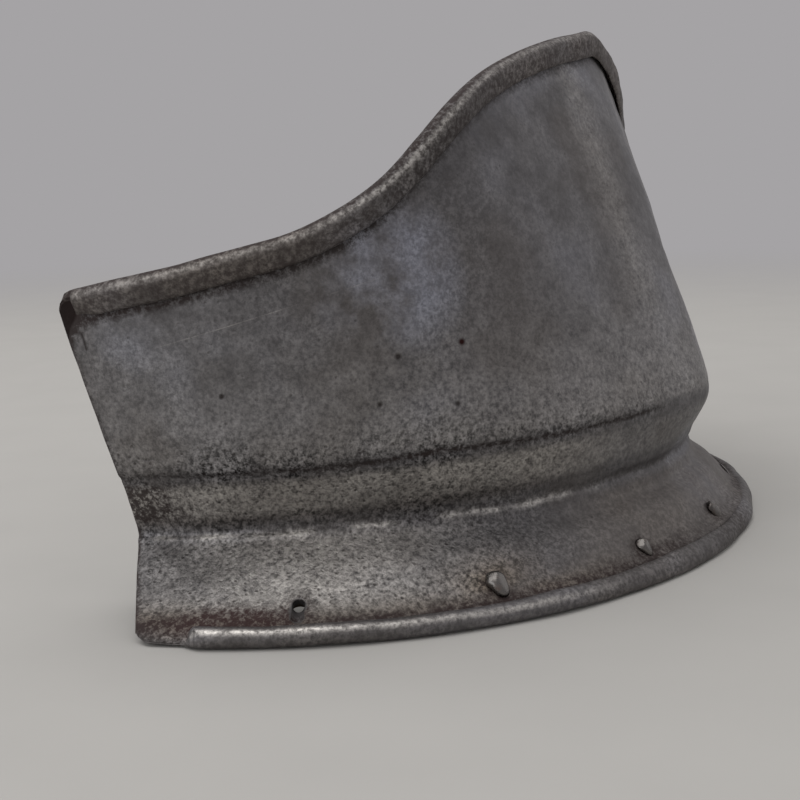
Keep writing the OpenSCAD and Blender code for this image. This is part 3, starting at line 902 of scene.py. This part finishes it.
class BEVOR_OT_lining_thread(bpy.types.Operator):
    """Builds the linen stitches left in the lining band"""

    bl_idname = "bevor.lining_thread"
    bl_label = "Lining thread"

    def execute(self, context):
        form = form_now()
        s = form.s
        rings, sides = STITCH_RINGS, THREAD_SIDES
        part = np.linspace(-STITCH_END, STITCH_END, STITCHES)[:, None]
        up = s.band_low + s.band_width - s.stitch_inset
        along = np.linspace(-0.5, 0.5, rings)[None, :]
        turn = form.turn_at(part, up) + along * s.stitch_length / form.arc
        normal = form.outward(turn, up)
        tangent = unit(form.face(turn + 1e-3, up) - form.face(turn - 1e-3, up))

        # A stitch is a tube that stands highest and is thickest in its middle, by sqrt(1 - (2x)^4), and bulges
        # twice round its section, which turns along it as two twisted strands do
        crown = np.sqrt(np.clip(1.0 - (2.0 * along) ** 4, 0.0, 1.0))
        depth = band_depth(s) + s.band_t + 0.45 * MM * crown + 0.12 * MM
        centre = form.face(turn, up) - normal * depth[..., None]
        spin = even_turns(sides)[None, None, :]
        twist = 1.0 + 0.16 * np.cos(2.0 * (spin - 9.0 * along[..., None]))
        radius = s.thread_d / 2 * (0.25 + 0.75 * crown)[..., None] * twist
        side = np.cross(normal, tangent)
        points = (centre[:, :, None, :] + radius[..., None] * (
            side[:, :, None, :] * np.cos(spin)[..., None] + normal[:, :, None, :] * np.sin(spin)[..., None]))
        caps = np.arange(sides)
        ends = np.stack((caps[1:-2:2], caps[2:-1:2], caps[3::2], np.zeros(len(caps[3::2]), dtype=int)), axis=-1)
        ends = np.concatenate((ends, (ends + (rings - 1) * sides)[:, ::-1]))
        one = np.concatenate((tube_faces(rings, sides), ends))
        faces = (one[None] + (np.arange(STITCHES) * rings * sides)[:, None, None]).reshape(-1, 4)
        piece = put_mesh("lining_stitches", points, faces)
        merge_doubles(piece)
        finish_piece(piece, waxed_linen(), "linen_thread", "lining_thread")
        return {"FINISHED"}


# Rivets, washers and wires

# Hammered heads differ: width and height of the head in millimetres, the share of its radius that its point is
# drawn out by, the way of the point, its dirt and painted shade at the foot, and its facets, each with the way it
# faces, its slope and the share of the head's height that it cuts the middle at
RIVET_HEADS = {
    "front": (4.0, 1.9, 0.45, 290, 0.3, ((228, 0.5, 0.9), (350, 0.3, 0.9))),
    "right_1": (3.2, 1.9, 0.85, 288, 0.12, ((143, 1.0, 1.05), (320, 0.4, 1.0))),
    "right_2": (4.1, 2.5, 0.95, 286, 0.08, ((157, 0.5, 1.0), (330, 0.5, 1.0))),
    "left_1": (3.8, 1.0, 0.2, 250, 0.7, ((60, 0.2, 0.8), (250, 0.3, 0.9))),
    "left_2": (4.2, 1.9, 0.5, 255, 0.2, ((80, 0.5, 0.85), (230, 0.4, 0.9))),
    "left_3": (4.1, 1.7, 0.3, 275, 0.1, ((150, 0.5, 0.8), (300, 0.7, 0.95))),
}


def rivet_profile(sizes, head_d, head_h):
    """From the top of the domed head, round its rim, down the shank and round the peened tail.

    At an angle t off the axis, the dome is its radius times sin(t)^0.8 wide, and 0.4 mm plus the rest of its
    height times cos t high. The tail is a quarter of an ellipse.
    """
    top = np.linspace(0.0, np.pi / 2, 14)
    dome = np.stack((head_d / 2 * np.sin(top) ** 0.8, 0.4 * MM + (head_h - 0.4 * MM) * np.cos(top)), axis=-1)
    rim = [(head_d / 2 * 0.97, 0.15 * MM), (head_d / 2 * 0.9, 0.03 * MM)]
    tail_top = -(band_depth(sizes) + sizes.band_t + 2 * sizes.seat_clear + sizes.washer_t)
    shank = [(sizes.shank_d / 2, 0.03 * MM), (sizes.shank_d / 2, tail_top)]
    low = np.linspace(np.pi / 2, 0.0, 8)
    tail = np.stack((sizes.tail_d / 2 * np.sin(low), tail_top - sizes.tail_h * np.cos(low)), axis=-1)
    return np.concatenate((dome, rim, shank, tail))


def hammer_head(x, y, z, height, point, point_way, facets, seed):
    """Makes a turned head uneven: lumpy round its rim, drawn out to a point on one side, and cut by facets.

    The point stretches the radius by a bell curve of the angle from its way, 38 degrees wide, less with the
    height squared. A facet lowers every point above the plane z = level - slope * (x cos way + y sin way) onto
    it. The corner between them is rounded: the lower of a and b is (a + b - sqrt((a - b)^2 + k^2)) / 2.
    """
    corner = 0.6 * MM
    head = z > 0
    off = np.angle(np.exp(1j * (np.arctan2(y, x) - point_way * DEG)))
    drawn = point * bell(off, 38 * DEG) * (1.0 - np.square(np.clip(z / height, 0.0, 1.0)))
    rough = 1.0 + head * (drawn + 0.035 * waves(x, y, seed, *RIVET_WAVES))
    x, y = x * rough, y * rough
    for way, slope, level in facets:
        plane = height * level - slope * (x * np.cos(way * DEG) + y * np.sin(way * DEG))
        lower = 0.5 * (z + plane - np.sqrt(np.square(z - plane) + corner * corner))
        z = np.where(head, np.maximum(lower, 0.03 * MM), z)
    return x, y, z


class BEVOR_OT_rivets(bpy.types.Operator):
    """Builds the hammered rivets, each a little different"""

    bl_idname = "bevor.rivets"
    bl_label = "Rivets"

    def execute(self, context):
        form = form_now()
        s = form.s
        material = hammered_iron()
        for number, name in enumerate(RIVET_PLACES):
            turn = np.array(rivet_turns(s)[name])
            up = np.array(s.rivet_up)
            width, height, point, point_way, dirt_and_shade, facets = RIVET_HEADS[name]
            x, y, z = turned_points(rivet_profile(s, width * MM, height * MM), RIVET_SIDES)
            x, y, z = hammer_head(x, y, z, height * MM, point, point_way, facets, RIVET_SEED + number)
            axis = form.outward(turn, up)
            seat = z + np.where(z > 0, hammered(form, turn, up), 0.0)
            piece = put_turned("rivet_head_" + name, form.face(turn, up), axis, x, y, seat)
            # Each head darkens towards its foot: dirt and painted shade
            over = (points_of(piece) - form.face(turn, up)) @ axis
            above_foot = smooth(over / ((0.3 + 2.0 * dirt_and_shade) * height * MM))
            add_attribute(piece, "grime_and_shade", 1.0 - (1.0 - dirt_and_shade) * above_foot)
            finish_piece(piece, material, "rivet_iron", "rivet_" + name)
        return {"FINISHED"}


class BEVOR_OT_washers(bpy.types.Operator):
    """Builds the cut iron washers under the rivets' tails"""

    bl_idname = "bevor.washers"
    bl_label = "Washers"

    def execute(self, context):
        form = form_now()
        s = form.s
        material = rusted_iron()
        top = -(band_depth(s) + s.band_t + s.seat_clear)
        low = top - s.washer_t
        inside, outside = s.shank_d / 2 + s.shank_clear, s.washer_d / 2
        bevel = 0.15 * MM
        profile = np.array([
            (inside, top - bevel), (inside + bevel, top), (outside - bevel, top), (outside, top - bevel),
            (outside, low + bevel), (outside - bevel, low), (inside + bevel, low), (inside, low + bevel),
            (inside, top - bevel)])

        # The rim was cut by hand: it is up to 9 percent narrower, by cosines of four and seven waves round it
        outer = profile[:, :1] > (inside + outside) / 2
        spin = even_turns(RIVET_SIDES)[None, :]
        for number, name in enumerate(RIVET_PLACES):
            turn = rivet_turns(s)[name]
            cut = 0.5 * np.cos(4.0 * spin + number) + 0.5 * np.cos(7.0 * spin + 2 * number)
            swell = 1.0 - 0.045 * outer * (1.0 + cut)
            x, y, z = turned_points(profile, RIVET_SIDES)
            axis = form.outward(turn, s.rivet_up)
            piece = put_turned("rove_" + name, form.face(turn, s.rivet_up), axis, x * swell, y * swell, z)
            finish_piece(piece, material, "washer_iron", "washer_" + name)
        return {"FINISHED"}


class BEVOR_OT_edge_wires(bpy.types.Operator):
    """Finishes the two iron wires that the edges are rolled round"""

    bl_idname = "bevor.edge_wires"
    bl_label = "Edge wires"

    def execute(self, context):
        material = rusted_iron()
        for node in ("upper_edge_wire", "lower_edge_wire"):
            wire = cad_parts[node]
            wire.data.materials.clear()
            wire.data.materials.append(material)
        return {"FINISHED"}


# Materials

def add_node(tree, kind, inputs=(), output=0, **settings):
    """Adds a shader node, sets its settings, fills its inputs with links or plain values, and gives one output.

    The inputs come in the node's own order, or by name.
    """
    node = tree.nodes.new("ShaderNode" + kind)
    for name, value in settings.items():
        setattr(node, name, value)
    for socket, source in inputs.items() if isinstance(inputs, dict) else enumerate(inputs):
        if isinstance(source, bpy.types.NodeSocket):
            tree.links.new(source, node.inputs[socket])
        else:
            node.inputs[socket].default_value = source
    return node.outputs[output] if node.outputs else None


def new_material(name):
    """An empty material, what adds a node to it, and the place on the piece."""
    material = bpy.data.materials.new(name)
    material.use_nodes = True
    material.node_tree.nodes.clear()
    node = partial(add_node, material.node_tree)
    return material, node, node("TexCoord", output="Object")


# Single marks on the plate, in millimetres: pits and stains with their radius, straight marks with their ends.
# Blue places, which are painted reflections, also have a strength
DEEP_PITS = (
    ((-72.7, -56.3, 49.4), 0.9), ((-89.5, -27.2, 43.0), 0.7),
    ((-65.6, -65.4, 39.6), 0.8), ((-75.7, -53.6, 40.5), 0.8))
BLUE_REFLECTIONS = (((-72.0, -55.0, 65.0), 17, 1.2), ((-94.4, -10.5, 55.9), 9, 0.3))
RED_PIT = ((-63.1, -65.4, 51.3), 0.9)
RED_STAIN = ((-101.2, -34.2, 4.3), 16)
SCRATCH = ((-93.5, -14.2, 52.1), (-72.0, -54.7, 64.9))
CRACK = ((-95.0, 0.3, 55.4), (-94.8, -0.5, 51.4))


def spot_mask(node, place, centre, radius):
    """One within a radius of a centre given in millimetres, fading to nought at its rim."""
    off = node("VectorMath", (place, np.array(centre) * MM), output="Value", operation="DISTANCE")
    return node("MapRange", (off, radius * MM, 0.4 * radius * MM))


def line_mask(node, place, ends, half_width):
    """One on a straight mark between two ends given in millimetres, nought beside it.

    The distance across it is the way from its middle, dotted with the direction square to its run and to the way
    out from the neck. It fades out over the half width, and over a last part of its length.
    """
    start, end = (np.array(point) * MM for point in ends)
    middle, run = (start + end) / 2, end - start
    reach = np.linalg.norm(run)
    side = unit(np.cross(run, unit(middle * (1.0, 1.0, 0.0))))
    off = node("VectorMath", (place, middle), operation="SUBTRACT")
    across = node("VectorMath", (off, side), output="Value", operation="DOT_PRODUCT")
    thin = node("MapRange", (node("Math", (across,), operation="ABSOLUTE"), half_width * MM, 0.0))
    far = node("VectorMath", (off,), output="Value", operation="LENGTH")
    near = node("MapRange", (far, reach / 2, reach / 2.6))
    return node("Math", (thin, near), operation="MULTIPLY")


def pitted_steel():
    """Forged plate steel, darkened with age: a dull grey metal, finely pitted all over.

    The eye sees a soft sheen broken by fine dark pores, brown dirt and painted shade in the creases, under the
    rolls and round the rivets, brighter metal where handling has rubbed the rolls and the flange, and painted
    light and reflections in places.
    """
    hues = colours_now()
    material, node, place = new_material("pitted_steel")
    grime_and_shade, wear_and_light, pitting, bloom, inner = (
        node("Attribute", output="Fac", attribute_name=name)
        for name in ("grime_and_shade", "wear_and_light", "pitting", "bloom", "inner"))

    # Noise of four sizes: tints 28 mm across, clouds 14 mm, mottling 3.5 mm and pores 1 mm. Real pores are finer,
    # and are drawn that coarse so that they show
    tint, clouds, mottle, pores = (
        node("TexNoise", {"Vector": place, "Scale": 1 / (across * MM), "Detail": detail, "Roughness": roughness})
        for across, detail, roughness in ((28, 2.0, 0.5), (14, 5.0, 0.6), (3.5, 4.0, 0.65), (1, 2.0, 0.8)))
    half_mottle = node("Math", (mottle, 0.5), operation="MULTIPLY")

    # Grey plate in clouds, with bluish and brownish patches, and painted reflections in the blue places
    cloudy = node("MapRange", (node("Math", (half_mottle, clouds), operation="ADD"), 0.55, 0.95))
    steel = node("MixRGB", (cloudy, hues.steel_dark, hues.steel_mid))
    bluish = node("MapRange", (tint, 0.54, 0.68, 0.0, 0.25))
    steel = node("MixRGB", (bluish, steel, hues.steel_blue_and_reflection))
    for centre, radius, strength in BLUE_REFLECTIONS:
        veiled = node("MapRange", (clouds, 0.36, 0.6, 0.0, strength))
        painted_reflection = node("Math", (spot_mask(node, place, centre, radius), veiled), operation="MULTIPLY")
        steel = node("MixRGB", (painted_reflection, steel, hues.steel_blue_and_reflection))
    blooming = node("Math", (bloom, node("MapRange", (clouds, 0.35, 0.6, 0.5, 1.0))), operation="MULTIPLY")
    brownish = node("MapRange", (tint, 0.46, 0.34, 0.0, 0.12))
    steel = node("MixRGB", (node("Math", (blooming, brownish), operation="MAXIMUM"), steel, hues.steel_brown))

    # Pores darken the metal, most where the pitting is heavy, and leave it a little lighter between them
    patchy = node("Math", (pitting, node("MapRange", (clouds, 0.35, 0.65, 0.5, 1.3))), operation="MULTIPLY")
    grain = node("Math", (node("MapRange", (pores, 0.66, 0.38, -0.6, 1.0)), patchy), operation="MULTIPLY")
    shade = node("Math", (grain, -0.65, 1.0), operation="MULTIPLY_ADD")
    steel = node("VectorMath", {0: steel, "Scale": shade}, operation="SCALE")

    # Rubbed metal and painted light show on the high places between the pores
    high = node("MapRange", (node("Math", (half_mottle, pores), operation="ADD"), 0.47, 0.98))
    rub_and_sheen = node("Math", (wear_and_light, high), operation="MULTIPLY")
    steel = node("MixRGB", (rub_and_sheen, steel, hues.steel_worn_and_sheen))

    # Dark pits, 0.8 mm across in cells of 1.5 mm, a few deep ones, a crack and a scratch
    cells = node("TexVoronoi", {"Vector": place, "Scale": 1 / (1.5 * MM)})
    heavy = node("MapRange", (node("Math", (pitting, 0.35, mottle), operation="MULTIPLY_ADD"), 0.6, 0.85))
    pits = node("Math", (node("MapRange", (cells, 0.28, 0.12)), heavy), operation="MULTIPLY")
    hollow = node("Math", (pits, 0.6), operation="MULTIPLY")
    for mark in (*(spot_mask(node, place, *pit) for pit in DEEP_PITS), line_mask(node, place, CRACK, 0.5)):
        hollow = node("Math", (hollow, mark), operation="MAXIMUM")
    steel = node("MixRGB", (node("Math", (hollow, 0.85), operation="MULTIPLY"), steel, hues.pit_brown))
    steel = node("MixRGB", (spot_mask(node, place, *RED_PIT), steel, hues.pit_red))
    faint = node("MapRange", (mottle, 0.4, 0.6, 0.0, 0.3))
    scratch = node("Math", (line_mask(node, place, SCRATCH, 0.15), faint), operation="MULTIPLY")
    steel = node("MixRGB", (scratch, steel, hues.steel_worn_and_sheen))

    # Dirt and painted shade, thick in the creases and thicker in the pores, so that its border is broken
    deep = node("Math", (pores, 1.4, node("Math", (mottle, 0.6), operation="MULTIPLY")), operation="MULTIPLY_ADD")
    broken = node("MapRange", (deep, 1.2, 0.78, 0.55, 1.4))
    dirt_and_shade = node("MapRange", (node("Math", (grime_and_shade, broken), operation="MULTIPLY"), 0.12, 0.98, 0.0, 0.92))
    rusty = node("Math", (bloom, 0.6), operation="MULTIPLY")
    reddish = node("Math", (node("MapRange", (tint, 0.42, 0.58, 0.0, 0.3)), rusty), operation="MAXIMUM")
    soil = node("MixRGB", (reddish, hues.grime_and_shade, hues.pit_red))
    soil = node("MixRGB", (spot_mask(node, place, *RED_STAIN), soil, hues.pit_red))
    steel = node("MixRGB", (dirt_and_shade, steel, soil))

    # The inner face was never polished: forge scale with rust
    scale = node("Math", (inner, node("MapRange", (cloudy, 0.0, 1.0, 0.95, 0.7))), operation="MULTIPLY")
    steel = node("MixRGB", (scale, steel, hues.scale_brown))

    # Dirt, painted shade and scale are no metal, except for the painted shade in the upper roll's open end, which
    # metal keeps dark
    covered = node("Math", (dirt_and_shade, node("Math", (inner, 0.6), operation="MULTIPLY")), operation="MAXIMUM")
    metal = node("MapRange", (covered, 0.0, 1.0, 0.95, 0.3))
    open_end_shade_metal = node("MapRange", (grime_and_shade, 1.4, 2.6, 0.0, 0.95))
    polish = node("MapRange", (rub_and_sheen, 0.0, 1.0, 0.56, 0.36))
    pored = node("Math", (pores, pitting), operation="MULTIPLY")
    relief = node("Bump", {"Height": pored, "Strength": 0.5, "Distance": 0.25 * MM})
    relief = node("Bump", {"Height": hollow, "Strength": 0.6, "Distance": 0.2 * MM, "Normal": relief}, invert=True)
    shader = node("BsdfPrincipled", {
        "Base Color": steel,
        "Metallic": node("Math", (metal, open_end_shade_metal), operation="MAXIMUM"),
        "Roughness": node("Math", (dirt_and_shade, 0.25, polish), operation="MULTIPLY_ADD"),
        "Normal": relief})
    node("OutputMaterial", (shader,))
    return material


def aged_iron(name, rust_from, rust_to, roughness):
    """Wrought iron with rust: rust spreads in patches 1.5 mm across between two thresholds."""
    hues = colours_now()
    material, node, place = new_material(name)
    patches = node("TexNoise", {"Vector": place, "Scale": 1 / (1.5 * MM), "Detail": 5.0, "Roughness": 0.7})
    rust = node("MapRange", (patches, rust_from, rust_to))
    rusty = node("MixRGB", (rust, hues.iron, hues.rust))
    # Towards the rivet heads' feet: dirt and painted shade
    grime_and_shade = node("Attribute", output="Fac", attribute_name="grime_and_shade")
    shader = node("BsdfPrincipled", {
        "Base Color": node("MixRGB", (grime_and_shade, rusty, hues.grime_and_shade)),
        "Metallic": node("MapRange", (rust, 0.0, 1.0, 1.0, 0.15)),
        "Roughness": node("MapRange", (rust, 0.0, 1.0, roughness, 0.85)),
        "Normal": node("Bump", {"Height": patches, "Strength": 0.6, "Distance": 0.15 * MM})})
    node("OutputMaterial", (shader,))
    return material


def hammered_iron():
    """Rivet iron, rubbed bright on its hammered tops with a little rust left in the hollows."""
    return aged_iron("hammered_iron", 0.5, 0.75, 0.24)


def rusted_iron():
    """Iron wire and washers that nobody polishes: mostly thin brown rust."""
    return aged_iron("rusted_iron", 0.3, 0.6, 0.5)


def strap_leather():
    """Vegetable-tanned strap leather, old and dry: grain cells 0.7 mm across and stains of 9 mm."""
    hues = colours_now()
    material, node, place = new_material("strap_leather")
    stains = node("TexNoise", {"Vector": place, "Scale": 1 / (9 * MM), "Detail": 5.0, "Roughness": 0.65})
    tone = node("MapRange", (stains, 0.3, 0.7, 0.55, 1.35))
    cells = node("TexVoronoi", {"Vector": place, "Scale": 1 / (0.7 * MM)}, feature="DISTANCE_TO_EDGE")
    grain = node("MapRange", (cells, 0.0, 0.12, 0.6, 1.0))
    shade = node("Math", (tone, grain), operation="MULTIPLY")
    shader = node("BsdfPrincipled", {
        "Base Color": node("VectorMath", {0: hues.leather[:3], "Scale": shade}, operation="SCALE"),
        "Roughness": node("MapRange", (stains, 0.0, 1.0, 0.5, 0.8)),
        "Normal": node("Bump", {"Height": grain, "Strength": 0.5, "Distance": 0.12 * MM}),
        "IOR": 1.5})
    node("OutputMaterial", (shader,))
    return material


def waxed_linen():
    """Hand-twisted linen thread, waxed and grey-brown with age.

    Its fibres are finer than they are drawn: 0.4 mm wide, so that they show.
    """
    hues = colours_now()
    material, node, place = new_material("waxed_linen")
    fibres = node("TexNoise", {"Vector": place, "Scale": 1 / (0.4 * MM), "Detail": 4.0})
    tone = node("MapRange", (fibres, 0.3, 0.7, 0.5, 1.2))
    shader = node("BsdfPrincipled", {
        "Base Color": node("VectorMath", {0: hues.linen[:3], "Scale": tone}, operation="SCALE"),
        "Roughness": 0.75,
        "Normal": node("Bump", {"Height": fibres, "Strength": 0.5, "Distance": 0.1 * MM}),
        "IOR": 1.5})
    node("OutputMaterial", (shader,))
    return material


def pale_floor():
    """A plain pale floor that fades into the backdrop's grey far from the object."""
    hues = colours_now()
    material, node, place = new_material("pale_floor")
    weave = node("TexNoise", {"Vector": place, "Scale": 1 / (30 * MM), "Detail": 4.0})
    tone = node("MapRange", (weave, 0.0, 1.0, 0.96, 1.04))
    base = node("VectorMath", {0: hues.floor[:3], "Scale": tone}, operation="SCALE")
    near = node("BsdfPrincipled", {"Base Color": base, "Roughness": 0.9, "IOR": 1.4})
    far = node("VectorMath", (place,), output="Value", operation="LENGTH")
    fade = node("MapRange", (far, *FLOOR_FADE), interpolation_type="SMOOTHSTEP")
    glow = node("Emission", {"Color": hues.backdrop, "Strength": 1.0})
    node("OutputMaterial", (node("MixShader", (fade, near, glow)),))
    return material


# Stage

def set_world(scene):
    """Soft light from everywhere; the camera and the shine of metal see the backdrop's grey."""
    hues = colours_now()
    world = bpy.data.worlds.new("studio")
    scene.world = world
    world.use_nodes = True
    tree = world.node_tree
    tree.nodes.clear()
    node = partial(add_node, tree)
    light = node("Background", {"Color": (1.0, 0.99, 0.98, 1.0), "Strength": 0.6})
    seen = node("Background", {"Color": hues.backdrop, "Strength": 1.0})
    shown = node("LightPath", output="Is Camera Ray")
    for kind in ("Is Glossy Ray", "Is Transmission Ray"):
        shown = node("Math", (shown, node("LightPath", output=kind)), operation="MAXIMUM")
    node("OutputWorld", (node("MixShader", (shown, light, seen)),))


def put_facing(name, data, place, right, over, back):
    """Links a lamp or a camera to the scene, at a place and with its back to a direction."""
    thing = bpy.data.objects.new(name, data)
    rows = np.stack((right, over, back, place), axis=-1).tolist()
    thing.matrix_world = Matrix((*rows, (0, 0, 0, 1)))
    bpy.context.scene.collection.objects.link(thing)
    return thing


def add_softbox(name, place, size, watts, tint):
    """A square area lamp at a place in metres, turned to the lamps' aim."""
    lamp = bpy.data.lights.new(name, "AREA")
    lamp.shape = "SQUARE"
    lamp.size = size
    lamp.energy = watts
    lamp.color = tint
    back = unit(np.array(place) - np.array(LAMP_AIM))
    put_facing(name, lamp, place, *axes_about(back), back)


def add_camera(scene):
    """Camera to the wearer's right of the prow, a little above, close to the object."""
    stage = scene.bevor_stage
    turn, rise, roll = stage.camera_angle, stage.camera_rise, stage.camera_roll
    back = np.array((-np.sin(turn) * np.cos(rise), -np.cos(turn) * np.cos(rise), np.sin(rise)))
    level, over = axes_about(back)
    place = np.array((0.0, 0.0, stage.aim_height)) + level * stage.aim_shift + back * stage.camera_distance
    data = bpy.data.cameras.new("camera")
    data.sensor_width = 36.0
    data.lens = stage.lens
    data.clip_start = 10 * MM
    scene.camera = put_facing(
        "camera", data, place, level * np.cos(roll) + over * np.sin(roll),
        over * np.cos(roll) - level * np.sin(roll), back)


class BEVOR_OT_stage(bpy.types.Operator):
    """Sets the pale floor, the soft light and the camera"""

    bl_idname = "bevor.stage"
    bl_label = "Stage"

    def execute(self, context):
        scene = context.scene
        scene.view_settings.view_transform = "Standard"
        rings = np.stack((FLOOR_RINGS, np.full(len(FLOOR_RINGS), -FLOOR_DROP)), axis=-1)
        ground = np.stack(turned_points(rings, FLOOR_SIDES), axis=-1)
        floor = put_mesh("floor", ground, tube_faces(*ground.shape[:2]))
        merge_doubles(floor)
        floor.data.materials.append(pale_floor())
        set_world(scene)
        for name, lamp in LAMPS.items():
            add_softbox(name, *lamp)
        add_camera(scene)
        return {"FINISHED"}


class BEVOR_PT_panel(bpy.types.Panel):
    """Lists the pieces of the bevor"""

    bl_label = "Bevor"
    bl_idname = "BEVOR_PT_panel"
    bl_space_type = "VIEW_3D"
    bl_region_type = "UI"
    bl_category = "Bevor"

    def draw(self, context):
        for operator in OPERATORS:
            self.layout.operator(operator.bl_idname)


OPERATORS = (
    BEVOR_OT_stage, BEVOR_OT_plate, BEVOR_OT_edge_wires, BEVOR_OT_lining_band, BEVOR_OT_lining_thread,
    BEVOR_OT_rivets, BEVOR_OT_washers,
)
GROUPS = {"bevor_sizes": BevorSizes, "bevor_colours": BevorColours, "bevor_stage": BevorStage}


def register():
    """Makes the sizes, colours, operators and panel known."""
    for group in GROUPS.values():
        bpy.utils.register_class(group)
    for name, group in GROUPS.items():
        setattr(bpy.types.Scene, name, bpy.props.PointerProperty(type=group))
    for operator in OPERATORS:
        bpy.utils.register_class(operator)
    bpy.utils.register_class(BEVOR_PT_panel)


def unregister():
    """Takes them away again."""
    bpy.utils.unregister_class(BEVOR_PT_panel)
    for operator in reversed(OPERATORS):
        bpy.utils.unregister_class(operator)
    for name in GROUPS:
        delattr(bpy.types.Scene, name)
    for group in GROUPS.values():
        bpy.utils.unregister_class(group)


def main():
    """Builds every piece and the stage."""
    register()
    bpy.ops.bevor.stage()
    bpy.ops.bevor.plate()
    bpy.ops.bevor.edge_wires()
    bpy.ops.bevor.lining_band()
    bpy.ops.bevor.lining_thread()
    bpy.ops.bevor.rivets()
    bpy.ops.bevor.washers()


if __name__ == "__main__":
    main()
